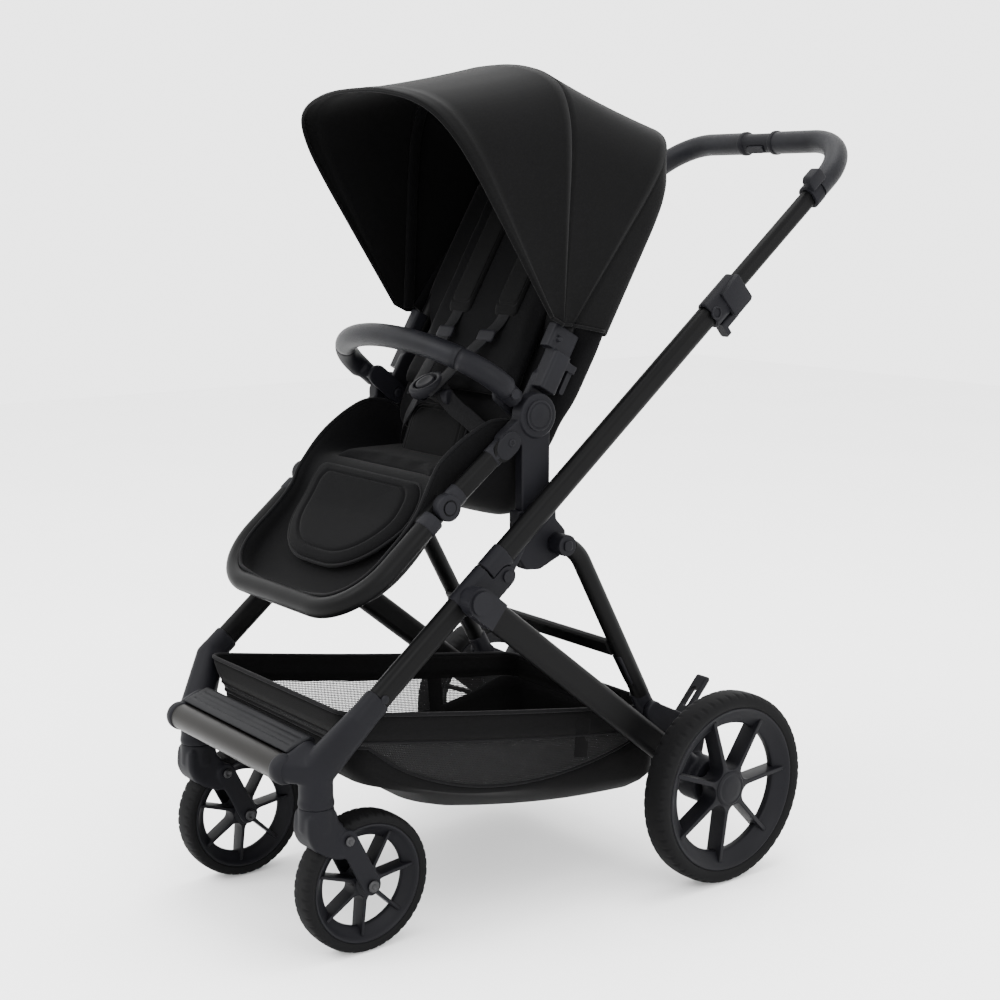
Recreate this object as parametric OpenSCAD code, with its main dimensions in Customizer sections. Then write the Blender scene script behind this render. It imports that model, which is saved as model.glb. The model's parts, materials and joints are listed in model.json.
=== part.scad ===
// Baby stroller: folding chassis, lift-off seat unit, folding canopy and storage basket.
// Millimetres, +Z up, front towards -Y, symmetric about X = 0, wheels standing on Z = 0.
// Side-view points are written [y, z], with y measured back from the rear axle.

/* [Wheels] */
// Diameter of the rear wheels
rear_wheel_d = 280; // [260:5:300]
// Width of the rear tyres
rear_wheel_w = 43; // [36:1:44]
// Diameter of the front wheels
front_wheel_d = 190; // [170:5:190]
// Width of the front tyres
front_wheel_w = 38; // [30:1:39]
// Spokes in each wheel
spokes = 7; // [5:1:9]
// Depth of a spoke as a share of the rim's width
spoke_depth = 0.62; // [0.3:0.01:0.9]
// Distance from the rear axle forward to the front axles
wheelbase = 544; // [540:1:550]

/* [Chassis] */
// Distance from the centre plane to the middle of each main tube
frame_x = 201; // [201:1:204]
// Slope of the main tubes above the floor
tube_angle = 39.4; // [39:0.1:39.8]
// Height of the main tube's oval section
tube_h = 34; // [30:1:36]
// Width of the main tube's oval section
tube_w = 22; // [20:1:22]
// Wall of the frame tubes
tube_wall = 2; // [1.6:0.1:2]
// Distance from the centre plane to the middle of each rear leg
leg_x = 228; // [228:1:229]

/* [Handle] */
// Length along the main tube from its foot to the handle's crossbar
handle_reach = 1166; // [1150:1:1180]
// Radius of the handle's two bends
handle_bend = 90; // [70:5:110]
// Diameter of the padded grip
grip_d = 35; // [30:1:38]

/* [Seat] */
// Slope of the backrest above the horizontal
back_angle = 60; // [58:1:61]
// Length of the backrest above the seat hub
back_length = 420; // [400:5:430]
// Slope of the leg rest below the horizontal
legrest_angle = 40; // [38:1:41]
// Length of the leg rest from its joint
legrest_length = 212; // [200:1:215]

/* [Canopy] */
// Radius of the canopy from its pivot to its crown
canopy_r = 372; // [360:1:375]
// Radius of the crown's shoulders
canopy_corner = 150; // [120:5:160]

/* [Hidden] */
$fn = 48;

// Colours
anodised = [0.13, 0.13, 0.14];
plastic = [0.21, 0.21, 0.23];
pale_plastic = [0.28, 0.28, 0.3];
tyre_black = [0.1, 0.1, 0.11];
fabric = [0.06, 0.06, 0.07];
leather = [0.2, 0.2, 0.22];
steel = [0.45, 0.45, 0.47];

// Gap between a turning or sliding piece and its bore, on the radius
running = 0.05;
// Gap between pieces that pass each other
gap = 0.4;

// Wheels
rear_r = rear_wheel_d / 2;
front_r = front_wheel_d / 2;
rear_x = 281.4;
front_x = 164;
rear_axle_at = [0, rear_r];
front_axle_at = [-wheelbase, front_r];
caster_y = front_axle_at[0] - 67;
axle_r = 6;
front_bolt_r = 5;

// Main tube line
tube_foot = [-569, 323];
function on_line(t, n = 0) = tube_foot
    + t * [cos(tube_angle), sin(tube_angle)]
    + n * [-sin(tube_angle), cos(tube_angle)];
collar_end = 40;
clevis_start = 200;
clevis_end = 260;
push_start = 300;
push_end = 780;
slider_start = 769;
slider_end = 837;

// Fold pivots: front frame on push frame, leg on front frame, stay on push frame, stay foot
fold_t = 279;
fold_n = -21;
fold_ear_r = 14;
fold_pin_r = 4;
leg_pivot = on_line(217);
leg_pin_r = 5;
stay_pivot = [-236, 512];
stay_foot = [-75, 250];
stay_x = 198.5;
stay_r = 13;
stay_bend = 60;

// Rear leg line
leg_run = rear_axle_at - leg_pivot;
leg_angle = atan2(leg_run[1], leg_run[0]);
leg_length = norm(leg_run);
leg_dir = leg_run / leg_length;
leg_h = 40;
leg_w = 20;

// Rear stay: a straight run up from its foot, then an arc that ends on its pivot
stay_dir_angle = 118.3;
stay_dir = [cos(stay_dir_angle), sin(stay_dir_angle)];
stay_left = [-stay_dir[1], stay_dir[0]];
stay_side = (stay_pivot - stay_foot) * stay_left;
stay_arc_run = sqrt(pow(stay_bend, 2) - pow(stay_bend - stay_side, 2));
stay_straight = (stay_pivot - stay_foot) * stay_dir - stay_arc_run;
stay_turn = asin(stay_arc_run / stay_bend);

// Seat unit
hub = [-268, 690];
hub_pin_r = 8;
seat_leg_w = 48;
seat_leg_x = [165, 182];
seat_leg_bottom = 506;
arm_top = [-314, 657];
knee = [-415, 580];
back_x = 165;
back_tube_r = 11;
legrest_x = 174;
legrest_tube_r = 14;
legrest_bend = 85;
legrest_plane = 180 + legrest_angle;
bumper_plane = 141;

// Canopy
canopy_pivot = [-228, 790];
canopy_x = 188.6;
rear_bow_angle = 52;
mid_bow_angle = 87;
front_bow_angle = 123;

// Outer reach of the object, front and back, which sets the origin in the middle
front_bar_at = [-645, 262];
front_bar_r = 18;
front_reach = front_bar_at[0] - front_bar_r;
ring_proud = 1.5;
back_reach = on_line(handle_reach)[0] + grip_d / 2 + ring_proud;
y_shift = -(front_reach + back_reach) / 2;

// ---- Placing helpers ----

// Moves the side-view coordinates so that the origin is under the object's middle
module placed() translate([0, y_shift, 0]) children();

module both_sides() {
    children();
    mirror([1, 0, 0]) children();
}

// Extrudes a [y, z] outline across X from x0 to x1
module across(x0, x1) translate([x0, 0, 0]) rotate([90, 0, 90]) linear_extrude(x1 - x0) children();

// Puts local +Y along a direction in the side view, with local +Z to its left
module along(p, angle, x = 0) translate([x, p[0], p[1]]) rotate([angle, 0, 0]) children();

// Extrudes a section along local +Y; the section's second axis is local -Z
module run(y0, y1) translate([0, y0, 0]) rotate([-90, 0, 0]) linear_extrude(y1 - y0) children();

module tube_line(x = frame_x) along(tube_foot, tube_angle, x) children();
module leg_line(x = leg_x) along(leg_pivot, leg_angle, x) children();

// Cylinder along X, centred on a side-view point
module pin(p, r, x0, x1) translate([x0, p[0], p[1]]) rotate([0, 90, 0]) cylinder(r = r, h = x1 - x0);

// Axis of a wheel along X, outer face towards +Z of the local frame
module wheel_axis(x, p) translate([x, p[0], p[1]]) rotate([0, 90, 0]) children();

// Oval section: a width along the first axis and a height along the second
module oval(w, h) {
    square([w, h - w], center = true);
    for (s = [-1, 1]) translate([0, s * (h - w) / 2]) circle(d = w);
}

module oval_ring(w, h, wall) difference() {
    oval(w, h);
    oval(w - 2 * wall, h - 2 * wall);
}

module ring(r, bore) difference() {
    circle(r);
    circle(bore);
}

module round_rect(w, h, r) {
    square([w - 2 * r, h], center = true);
    square([w, h - 2 * r], center = true);
    for (sx = [-1, 1], sy = [-1, 1]) translate([sx * (w / 2 - r), sy * (h / 2 - r)]) circle(r);
}

function arc(c, r, a0, a1, steps = 14) = [for (i = [0:steps])
    c + r * [cos(a0 + (a1 - a0) * i / steps), sin(a0 + (a1 - a0) * i / steps)]];

// Flat link between two points with round ends, as a side-view outline
module link(a, b, r) {
    way = atan2(b[1] - a[1], b[0] - a[0]);
    polygon(concat(arc(a, r, way + 90, way + 270), arc(b, r, way - 90, way + 90)));
}

// U in the local XY plane: two arms at x = +-w from y0, bends of radius rb, crossbar at y1
module u_tube(w, y0, y1, rb) {
    both_sides() {
        translate([w, 0, 0]) run(y0, y1 - rb) children();
        translate([w - rb, y1 - rb, 0]) rotate_extrude(angle = 90) translate([rb, 0]) children();
    }
    translate([0, y1, 0]) across(rb - w, w - rb) children();
}

// ---- Push frame ----

module push_tubes() color(anodised) placed() both_sides()
    tube_line() run(push_start, push_end) oval_ring(tube_w, tube_h, tube_wall);

// Upper half of the fold hinge, with an ear under the tube that turns on the fold pin
module hinge_housings() color(plastic) placed() both_sides() {
    ear_x = 6;
    swing = fold_ear_r + 0.8;
    difference() {
        tube_line() run(clevis_end + 2, push_start) oval(tube_w + 2, tube_h + 4);
        for (x0 = [frame_x - tube_w, frame_x + ear_x]) across(x0, x0 + tube_w - ear_x) {
            translate(on_line(fold_t, fold_n)) circle(swing);
            translate(on_line(fold_t, fold_n)) rotate(tube_angle) translate([-tube_h, -swing])
                square([tube_h, 2 * swing]);
        }
        pin(on_line(fold_t, fold_n), fold_pin_r + running, frame_x - tube_w, frame_x + tube_w);
    }
    difference() {
        across(frame_x - ear_x, frame_x + ear_x) {
            translate(on_line(fold_t, fold_n)) circle(fold_ear_r - 1);
            polygon([on_line(fold_t - 10, fold_n - 8), on_line(fold_t + 8, fold_n - 10),
                on_line(fold_t + 56, -tube_h / 2 + 2), on_line(fold_t - 12, -tube_h / 2 + 2)]);
        }
        pin(on_line(fold_t, fold_n), fold_pin_r + running, frame_x - tube_w, frame_x + tube_w);
    }
}

slide_w = 17;
slide_h = 28;
slider_w = 27;
slider_x = frame_x - tube_w / 2 - 0.5 + slider_w / 2;

// Sleeve at the top of each push tube that the handle slides through
module slider_housings() color(plastic) placed() both_sides() {
    difference() {
        tube_line(slider_x) run(slider_start, slider_end) oval(slider_w, tube_h + 10);
        tube_line() run(slider_start - 1, push_end) oval(tube_w, tube_h);
        tube_line() run(push_end - 1, slider_end + 1) oval(slide_w + 2 * gap, slide_h + 2 * gap);
    }
    pin(on_line(slider_start + 42), 11, slider_x + slider_w / 2 - 1, slider_x + slider_w / 2 + 3);
}

socket_x = [162.5, 184.5];

// Socket on the inside of each push tube that takes the seat's leg, with the stay's pivot pin
module seat_mounts() color(plastic) placed() both_sides() {
    difference() {
        across(socket_x[0], socket_x[1]) polygon([[-300, 598], [-238, 604], [-234, 545],
            [-218, 528], [-216, 504], [-228, 492], [-262, 478], [-286, 480], [-300, 500]]);
        translate([seat_leg_x[0] - gap, hub[0] - seat_leg_w / 2 - gap, seat_leg_bottom - gap])
            cube([seat_leg_x[1] - seat_leg_x[0] + 2 * gap, seat_leg_w + 2 * gap, 120]);
    }
    tube_line(0) translate([socket_x[1] - 0.5, 378, -tube_h / 2 + 4])
        cube([frame_x - tube_w / 2 - socket_x[1] + 1, 44, tube_h - 8]);
    pin(stay_pivot, leg_pin_r, socket_x[1] - 4, stay_x + stay_r + 1);
    pin(stay_pivot, 8, stay_x + stay_r + 0.6, stay_x + stay_r + 3);
}

// ---- Handle ----

core_r = 11;
grip_start = 1052;
sleeve_half = 37;

module handle_tube() color(anodised) placed() {
    both_sides() tube_line() run(560, grip_start) oval_ring(slide_w, slide_h, 1.8);
    tube_line(0) u_tube(frame_x, grip_start - 12, handle_reach, handle_bend) circle(core_r);
}

module handle_grip() color(leather) placed() tube_line(0) difference() {
    u_tube(frame_x, grip_start, handle_reach, handle_bend) ring(grip_d / 2, core_r);
    translate([0, handle_reach, 0]) cube([2 * sleeve_half, grip_d + 2, grip_d + 2], center = true);
}

// Middle sleeve with a raised ring at each side, and a collar below each end of the grip
module handle_sleeve() color(plastic) placed() {
    tube_line(0) difference() {
        union() {
            translate([0, handle_reach, 0]) across(-sleeve_half, sleeve_half) ring(grip_d / 2 - 2, core_r);
            for (s = [-1, 1]) translate([0, handle_reach, 0])
                across(s * (sleeve_half - 4) - 4, s * (sleeve_half - 4) + 4) ring(grip_d / 2 + ring_proud, core_r);
        }
        translate([0, handle_reach - 12, 0]) cube([button_l + 1, 14, button_w + 1], center = true);
    }
    both_sides() tube_line() difference() {
        run(grip_start - 22, grip_start) oval(grip_d - 5, grip_d + 3);
        run(grip_start - 23, grip_start - 12) oval(slide_w, slide_h);
        run(grip_start - 13, grip_start + 1) circle(core_r + 3.5);
    }
}

button_l = 34;
button_w = 12;
button_travel = 3;

// Squeeze button in the middle sleeve that frees the handle's height
module height_button() color(pale_plastic) placed() tube_line(0)
    translate([0, handle_reach - core_r - 3.4, 0]) difference() {
        translate([0, -1, 0]) rotate([90, 0, 0]) linear_extrude(5, center = true)
            round_rect(button_l, button_w, 4);
        translate([0, core_r + 3.4, 0]) across(-button_l, button_l) circle(core_r + button_travel + gap);
    }

// Pull trigger under each slider housing that frees the fold
module fold_trigger(s) color(pale_plastic) placed() tube_line(s * slider_x) {
    top = -(tube_h + 10) / 2 - gap;
    translate([0, slider_start + 8, top - 7]) run(0, 34) round_rect(16, 13.5, 4);
    translate([0, slider_start + 12, top - 15]) rotate([90, 0, 0])
        linear_extrude(8, center = true) round_rect(16, 18, 4);
}
module fold_trigger_left() fold_trigger(1);
module fold_trigger_right() fold_trigger(-1);

// ---- Front frame ----

module front_tubes() color(anodised) placed() both_sides()
    tube_line() run(collar_end, clevis_start) oval_ring(tube_w, tube_h, tube_wall);

// Lower half of the fold hinge: a block with two ears, and the seat of the rear leg's pin
module tube_ends() color(plastic) placed() both_sides() {
    outer = tube_w / 2 + 1.4;
    inner = 6.4;
    difference() {
        tube_line() run(clevis_start, clevis_end) oval(tube_w + 2, tube_h + 4);
        pin(leg_pivot, leg_pin_r, frame_x, frame_x + tube_w);
    }
    for (x0 = [frame_x - outer, frame_x + inner]) difference() {
        across(x0, x0 + outer - inner) link(on_line(clevis_end - 24, fold_n), on_line(fold_t, fold_n), fold_ear_r);
        pin(on_line(fold_t, fold_n), fold_pin_r, frame_x - tube_w, frame_x + tube_w);
    }
    difference() {
        pin(leg_pivot, 17, frame_x + tube_w / 2, leg_x - leg_w / 2 - gap);
        pin(leg_pivot, leg_pin_r, frame_x, frame_x + tube_w);
    }
}

post_r = 22.5;
post_bottom = 211;
stem_r = 8;
stem_top = 248;

// Corner casting: caster post, tube collar and the end of the crossbar flowing into each other
module corner_castings() color(plastic) placed() both_sides() difference() {
    union() {
        translate([front_x, caster_y, post_bottom]) cylinder(r = post_r, h = 50);
        translate([front_x, caster_y, post_bottom]) cylinder(r = post_r + 1.5, h = 8);
        hull() {
            translate([front_x, caster_y, 246]) cylinder(r = post_r, h = 22, $fn = 32);
            tube_line() run(-4, 12) oval(tube_w + 5, tube_h + 6, $fn = 32);
        }
        hull() {
            translate([front_x, caster_y, 246]) cylinder(r = post_r, h = 22, $fn = 32);
            across(142, 150) link([-643, 262], [-612, 276], 17, $fn = 32);
        }
        tube_line() run(-4, collar_end) oval(tube_w + 4, tube_h + 5);
    }
    translate([front_x, caster_y, post_bottom - 1]) cylinder(r = stem_r + running, h = stem_top - post_bottom + 3);
}

// Rounded bar across the front, between the castings
module front_bar() color([0.27, 0.26, 0.26]) placed() across(-142, 142) translate(front_bar_at) circle(front_bar_r);

// Ribbed step behind and above the front bar
module footrest() color(pale_plastic) placed() {
    difference() {
        across(-142, 142) polygon([[-641, 283], [-634, 287], [-604, 297], [-597, 293], [-596, 266],
            [-604, 256], [-626, 254], [-626, 270]]);
        for (i = [0:2]) across(-132, 132) translate([-628 + 8 * i, 289 + 8 / 3 * i]) circle(1.6, $fn = 16);
    }
}

// Fold pins with heads, and the rear legs' pins with their round caps
module pivot_pins() color(steel) placed() both_sides() {
    fold_at = on_line(fold_t, fold_n);
    pin(fold_at, fold_pin_r, frame_x - 14, frame_x + 14);
    for (x0 = [frame_x - 15, frame_x + 12.4]) pin(fold_at, 8, x0, x0 + 2.6);
    pin(leg_pivot, leg_pin_r, frame_x + 3, leg_x + leg_w / 2 + 2);
    pin(leg_pivot, 16, leg_x + leg_w / 2 + gap, leg_x + leg_w / 2 + 4);
}

// One level of the basket: a thin plate from y0 to y1, as wide as +-w
module basket_level(p0, p1, w, round = 24) {
    for (sx = [-1, 1]) {
        translate([sx * (w - round), p0[0] + round, p0[1]]) cylinder(r = round, h = 1, $fn = 20);
        translate([sx * (w - round), p1[0] - round, p1[1]]) cylinder(r = round, h = 1, $fn = 20);
    }
}

basket_top_front = [-545, 328];
basket_top_rear = [-28, 262];
basket_wall = 4;

// Fabric storage basket, open at the top and hung between the front castings and the rear legs
module basket() color(fabric) placed() difference() {
    hull() {
        basket_level(basket_top_front, basket_top_rear, 182);
        basket_level([-500, 226], [-28, 190], 172);
        basket_level([-452, 182], [-34, 130], 140);
        basket_level([-380, 148], [-60, 101], 110);
    }
    hull() {
        basket_level(basket_top_front + [basket_wall, 4], basket_top_rear + [-basket_wall, 4], 182 - basket_wall);
        basket_level([-496, 229], [-32, 193], 172 - basket_wall);
        basket_level([-446, 187], [-38, 134], 140 - basket_wall);
        basket_level([-376, 154], [-66, 107], 110 - basket_wall);
    }
}

// ---- Casters and wheels ----

fork_in = 21.5;
fork_out = 27;

// Outline of the fork's upper shell, seen from the side
module fork_shell() {
    polygon([[caster_y - 22, 209], [caster_y + 22, 209], [caster_y + 44, 196], [caster_y + 52, 176],
        [caster_y + 46, 156], [caster_y + 30, 148], [caster_y + 12, 152], [caster_y - 6, 168],
        [caster_y - 20, 188]]);
}

module caster_fork(s) color(plastic) placed() translate([s * front_x, 0, 0]) {
    upper_bolt = front_axle_at + [-35, 70];
    difference() {
        across(-fork_out, fork_out) fork_shell();
        across(-fork_out - 1, fork_out + 1) translate(front_axle_at) circle(front_r + 3);
    }
    for (x0 = [-fork_out, fork_in]) across(x0, x0 + fork_out - fork_in) {
        fork_shell();
        link(upper_bolt, front_axle_at, 14);
    }
    translate([0, caster_y, 205]) cylinder(r = stem_r, h = stem_top - 205);
    pin(front_axle_at, front_bolt_r, -fork_out, fork_out);
    for (x0 = [-fork_out - 2.5, fork_out - 0.5], p = [front_axle_at, upper_bolt]) pin(p, 7.5, x0, x0 + 3);
}
module caster_fork_left() caster_fork(1);
module caster_fork_right() caster_fork(-1);

module tyre(r, w, depth, x, p) color(tyre_black) placed() wheel_axis(x, p)
    rotate_extrude($fn = 96) translate([r - depth / 2, 0]) round_rect(depth, w, depth * 0.42);

// Spoked rim; the bore is closed on the outer side by the hub cap
module rim(r_out, band, w, hub_r, bore, hub_w, through, x, p, outward)
    color(plastic) placed() wheel_axis(x, p) rotate([outward > 0 ? 0 : 180, 0, 0]) difference() {
        union() {
            linear_extrude(w, center = true) ring(r_out, r_out - band, $fn = 96);
            cylinder(r = hub_r, h = hub_w, center = true);
            translate([0, 0, hub_w / 2 - 1]) cylinder(r = hub_r * 0.72, h = 3);
            for (i = [0:spokes - 1]) rotate((i + 0.37) * 360 / spokes)
                translate([hub_r * 0.6, -hub_r * 0.24, -w * spoke_depth / 2])
                    cube([r_out - band / 2 - hub_r * 0.6, hub_r * 0.48, w * spoke_depth]);
        }
        translate([0, 0, -hub_w]) cylinder(r = bore, h = through ? 3 * hub_w : 1.5 * hub_w - 4);
    }

rear_tyre_depth = 21;
front_tyre_depth = 15;

module rear_tyre_left() tyre(rear_r, rear_wheel_w, rear_tyre_depth, rear_x, rear_axle_at);
module rear_tyre_right() tyre(rear_r, rear_wheel_w, rear_tyre_depth, -rear_x, rear_axle_at);
module front_tyre_left() tyre(front_r, front_wheel_w, front_tyre_depth, front_x, front_axle_at);
module front_tyre_right() tyre(front_r, front_wheel_w, front_tyre_depth, -front_x, front_axle_at);

module rear_rim(s) rim(rear_r - rear_tyre_depth, 24, 34, 25, axle_r + running, 38, false,
    s * rear_x, rear_axle_at, s);
module front_rim(s) rim(front_r - front_tyre_depth, 18, 30, 17, front_bolt_r + running, 38, true,
    s * front_x, front_axle_at, s);
module rear_rim_left() rear_rim(1);
module rear_rim_right() rear_rim(-1);
module front_rim_left() front_rim(1);
module front_rim_right() front_rim(-1);

// ---- Rear legs ----

leg_socket = 466;

module rear_legs() color(anodised) placed() both_sides()
    leg_line() run(38, leg_socket) oval_ring(leg_w, leg_h, tube_wall);

module leg_ends() color(pale_plastic) placed() both_sides() difference() {
    across(leg_x - leg_w / 2, leg_x + leg_w / 2) polygon(concat(
        arc(leg_pivot, leg_h / 2, leg_angle + 90, leg_angle + 270),
        [for (s = [-1, 1]) leg_pivot + 38 * leg_dir + s * leg_h / 2 * [-leg_dir[1], leg_dir[0]]]));
    pin(leg_pivot, leg_pin_r + running, leg_x - leg_w, leg_x + leg_w);
}

foot_x = [216, 256];
bracket_x = [206, 216.5];

// Foot of each leg: housing round the axle, leg socket and the bracket towards the stay's foot
module rear_feet() color(plastic) placed() both_sides() difference() {
    union() {
        pin(rear_axle_at, 34, foot_x[0], foot_x[1]);
        leg_line() run(leg_socket, leg_length - 8) oval(leg_w + 7, leg_h + 6);
        across(bracket_x[0], bracket_x[1]) {
            link(stay_foot, [14, 206], 13);
            link([14, 206], rear_axle_at + [2, 12], 15);
            link(stay_foot, rear_axle_at + [-36, 24], 14.5);
        }
    }
    pin(rear_axle_at, axle_r, bracket_x[0] - 1, foot_x[1] + 1);
}

cross_tube_r = 11;

// Rear axle with the tube that braces the two feet
module rear_axle() color(steel) placed() {
    pin(rear_axle_at, axle_r, -rear_x - 14, rear_x + 14);
    pin(rear_axle_at, cross_tube_r, -bracket_x[0], bracket_x[0]);
}

pedal_x = 96;

// Foot pedal of the parking brake, turning on the cross tube
module brake_pedal() color(plastic) placed() difference() {
    union() {
        pin(rear_axle_at, 18, pedal_x - 12, pedal_x + 12);
        across(pedal_x - 7, pedal_x + 7) link(rear_axle_at, [86, 182], 7);
        across(pedal_x - 11.5, pedal_x + 11.5) link([86, 182], [134, 235], 5);
    }
    pin(rear_axle_at, cross_tube_r + running, pedal_x - 20, pedal_x + 20);
    along([110, 208], atan2(53, 48), pedal_x) linear_extrude(40, center = true) oval(11, 34);
}

// ---- Rear stays ----

module rear_stays() color(anodised) placed() both_sides() {
    along(stay_foot, stay_dir_angle, stay_x) {
        run(30, stay_straight) ring(stay_r, stay_r - tube_wall);
        translate([0, stay_straight, stay_bend]) rotate([90, 0, 90]) rotate([0, 0, -90])
            rotate_extrude(angle = stay_turn - 14) translate([stay_bend, 0]) ring(stay_r, stay_r - tube_wall);
    }
}

// Eye at the top of each stay, and the fitting at its foot
module stay_ends() color(plastic) placed() both_sides() {
    difference() {
        pin(stay_pivot, stay_r + 2, socket_x[1] + 0.8, stay_x + stay_r);
        pin(stay_pivot, leg_pin_r + running, socket_x[1], stay_x + stay_r + 1);
    }
    pin(stay_foot, 15, 186, bracket_x[0] - 1.5);
    along(stay_foot, stay_dir_angle, stay_x - 3) run(0, 34) oval(20, 30);
}

module stay_crossbar() color(anodised) placed()
    along(stay_foot + 122 * stay_dir + 12 * stay_left, stay_dir_angle, 0)
        across(-stay_x + 4, stay_x - 4) round_rect(26, 11, 4);

// ---- Seat ----

// Hub of the seat on each side, with the leg that drops into the chassis socket
module seat_hubs() color(plastic) placed() both_sides() {
    across(seat_leg_x[0], seat_leg_x[1]) {
        translate([hub[0] - seat_leg_w / 2, seat_leg_bottom]) square([seat_leg_w, hub[1] - seat_leg_bottom]);
        translate(hub) circle(30);
        link(hub, arm_top, 15);
    }
    pin(hub, 30, seat_leg_x[1] - 1, 187);
    pin(hub, 19, 186, 188.6);
    pin(hub, hub_pin_r, 148, seat_leg_x[0] + 1);
}

// Side arms between the hubs and the leg rest's joints
module seat_arms() color(anodised) placed() both_sides() {
    arm_angle = atan2(knee[1] - arm_top[1], knee[0] - arm_top[0]);
    along(arm_top, arm_angle, 176) run(12, norm(knee - arm_top) - 16) oval_ring(20, 28, 2);
    difference() {
        pin(knee, 17, 174, 187);
        pin(knee, 9, 179, 188);
    }
    across(183, 187) link(arm_top, arm_top + 16 * [cos(arm_angle), sin(arm_angle)], 15);
    pin(knee, 7, 158, 176);
}

// Seat cushion with a raised wing at each side
module seat_pad() color(fabric) placed() {
    across(-150, 150) polygon([[-400, 612], [-300, 600], [-284, 612], [-270, 606], [-262, 585],
        [-270, 556], [-286, 545], [-327, 558], [-367, 570], [-400, 588]]);
    both_sides() across(149, 160) polygon([[-262, 585], [-270, 556], [-286, 545], [-327, 558], [-367, 570],
        [-400, 590], [-402, 634], [-350, 666], [-330, 674], [-304, 672], [-290, 652], [-284, 630]]);
}

// Strap and pad between the legs
module crotch_strap() color(fabric) placed() along([-322, 606], 66, 0)
    translate([0, 0, -2]) run(0, 84) round_rect(56, 10, 4);

buckle_at = [-316, 712];

module buckle() color(plastic) placed() along(buckle_at, 120, 0) difference() {
    rotate([-90, 0, 0]) cylinder(r = 27, h = 14);
    translate([0, 8, 0]) rotate([-90, 0, 0]) cylinder(r = 15.4, h = 8);
}

module buckle_button() color(pale_plastic) placed() along(buckle_at, 120, 0)
    translate([0, 11.5, 0]) rotate([-90, 0, 0]) cylinder(r = 15, h = 4);

// ---- Backrest ----

module back_line() along(hub, back_angle, 0) children();

module backrest_frame() color(anodised) placed() back_line()
    u_tube(back_x, 92, back_length, 60) ring(back_tube_r, back_tube_r - tube_wall);

// Lower sleeve of each backrest tube with its eye on the hub pin, and the canopy's clamp
module backrest_sleeves() color(plastic) placed() both_sides() {
    sleeve_x = [156, 164.5];
    difference() {
        across(sleeve_x[0], sleeve_x[1]) link(hub, hub + 50 * [cos(back_angle), sin(back_angle)], 17);
        pin(hub, hub_pin_r + running, sleeve_x[0] - 1, sleeve_x[1] + 1);
    }
    along(hub, back_angle, 171) run(36, 92) round_rect(30, 30, 7);
    difference() {
        along(hub, back_angle, 0) translate([165.7, 0, 3]) run(92, 126) round_rect(21.4, 46, 6);
        along(hub, back_angle, 0) translate([back_x, 0, 0]) run(91, 127) circle(back_tube_r);
    }
    pin(canopy_pivot, 4, 175, 184);
    for (x0 = [157, 182.4]) difference() {
        along(hub, back_angle, 0) translate([x0, lever_at[0] - 6, lever_at[1] - 6]) cube([2.6, 12, 16]);
        lever_pivot() pin([0, 0], 2, 150, 190);
    }
    lever_pivot() pin([0, 0], 2, 157, 185);
}

// Place of the recline levers' pivot: distance along the backrest line, and behind it
lever_at = [80, -23];
module lever_pivot() along(hub, back_angle, 0) translate([0, lever_at[0], lever_at[1]]) children();

// Recline lever behind each sleeve
module recline_levers() color(pale_plastic) placed() both_sides() lever_pivot() difference() {
    across(160, 182) link([0, 0], [-34, 0], 4);
    pin([0, 0], 2 + running, 159, 183);
}

module backrest_pad() color(fabric) placed() back_line() difference() {
    translate([0, 62, 0]) run(0, back_length - 60 - 62) translate([0, 14]) round_rect(302, 46, 20);
}

module shoulder_straps() color(fabric) placed() back_line() both_sides()
    translate([55, 120, 14]) run(0, 210) round_rect(46, 7, 3);

// ---- Canopy ----

// Section of the canopy on one side of its crown: [distance from pivot, half width]
function crown(r, w, corner, steps = 10) = [for (i = [0:steps])
    [r - corner + corner * sin(90 * i / steps), w - corner * 0.75 * (1 - cos(90 * i / steps))]];

// Sheet of revolution about the pivot's X axis, from angle a0 to a1 in the side view
module canopy_sheet(r, w, thick, a0, a1, foot) {
    outer = crown(r, w, canopy_corner);
    inner = crown(r - thick, w - thick, canopy_corner);
    n = len(outer) - 1;
    translate([0, canopy_pivot[0], canopy_pivot[1]]) rotate([90, 0, 90]) rotate([0, 0, a0])
        rotate_extrude(angle = a1 - a0, $fn = 96) polygon(concat(
            [[foot, w]], outer, [for (i = [n:-1:0]) [outer[i][0], -outer[i][1]]], [[foot, -w]],
            [[foot, thick - w]], [for (i = [0:n]) [inner[i][0], -inner[i][1]]],
            [for (i = [n:-1:0]) inner[i]], [[foot, w - thick]]));
}

// Bow: a flat strip with an eye on the canopy pivot at each side
module canopy_bow(r, w, thick, angle, width, eye) {
    half = width / 2 / r * 180 / PI;
    canopy_sheet(r, w, thick, angle - half, angle + half, r * 0.3);
    both_sides() difference() {
        across(w - thick + 0.3, w - 0.3) link(canopy_pivot,
            canopy_pivot + r * 0.33 * [cos(angle), sin(angle)], 6);
        if (eye) pin(canopy_pivot, 4 + running, w - thick - 1, w + 1);
    }
}

module canopy_rear() color(fabric) placed()
    canopy_sheet(canopy_r, canopy_x, 2.2, rear_bow_angle - 12, mid_bow_angle + 1, 46);

module canopy_rear_bow() color(plastic) placed()
    canopy_sheet(canopy_r - 2.3, canopy_x - 2.3, 2.5, rear_bow_angle - 12, rear_bow_angle - 10, 200);

module canopy_mid_bow() color(plastic) placed()
    canopy_bow(canopy_r - 9.5, 179.5, 3, mid_bow_angle, 14, true);

module canopy_front() color(fabric) placed()
    canopy_sheet(canopy_r - 2.8, 185.8, 2.4, mid_bow_angle - 1, front_bow_angle, 46);

module canopy_front_bow() color(plastic) placed()
    canopy_bow(canopy_r - 5.6, 183, 3, front_bow_angle - 1, 12, true);

// ---- Leg rest ----

module legrest_line() along(knee, legrest_plane, 0) children();

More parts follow.
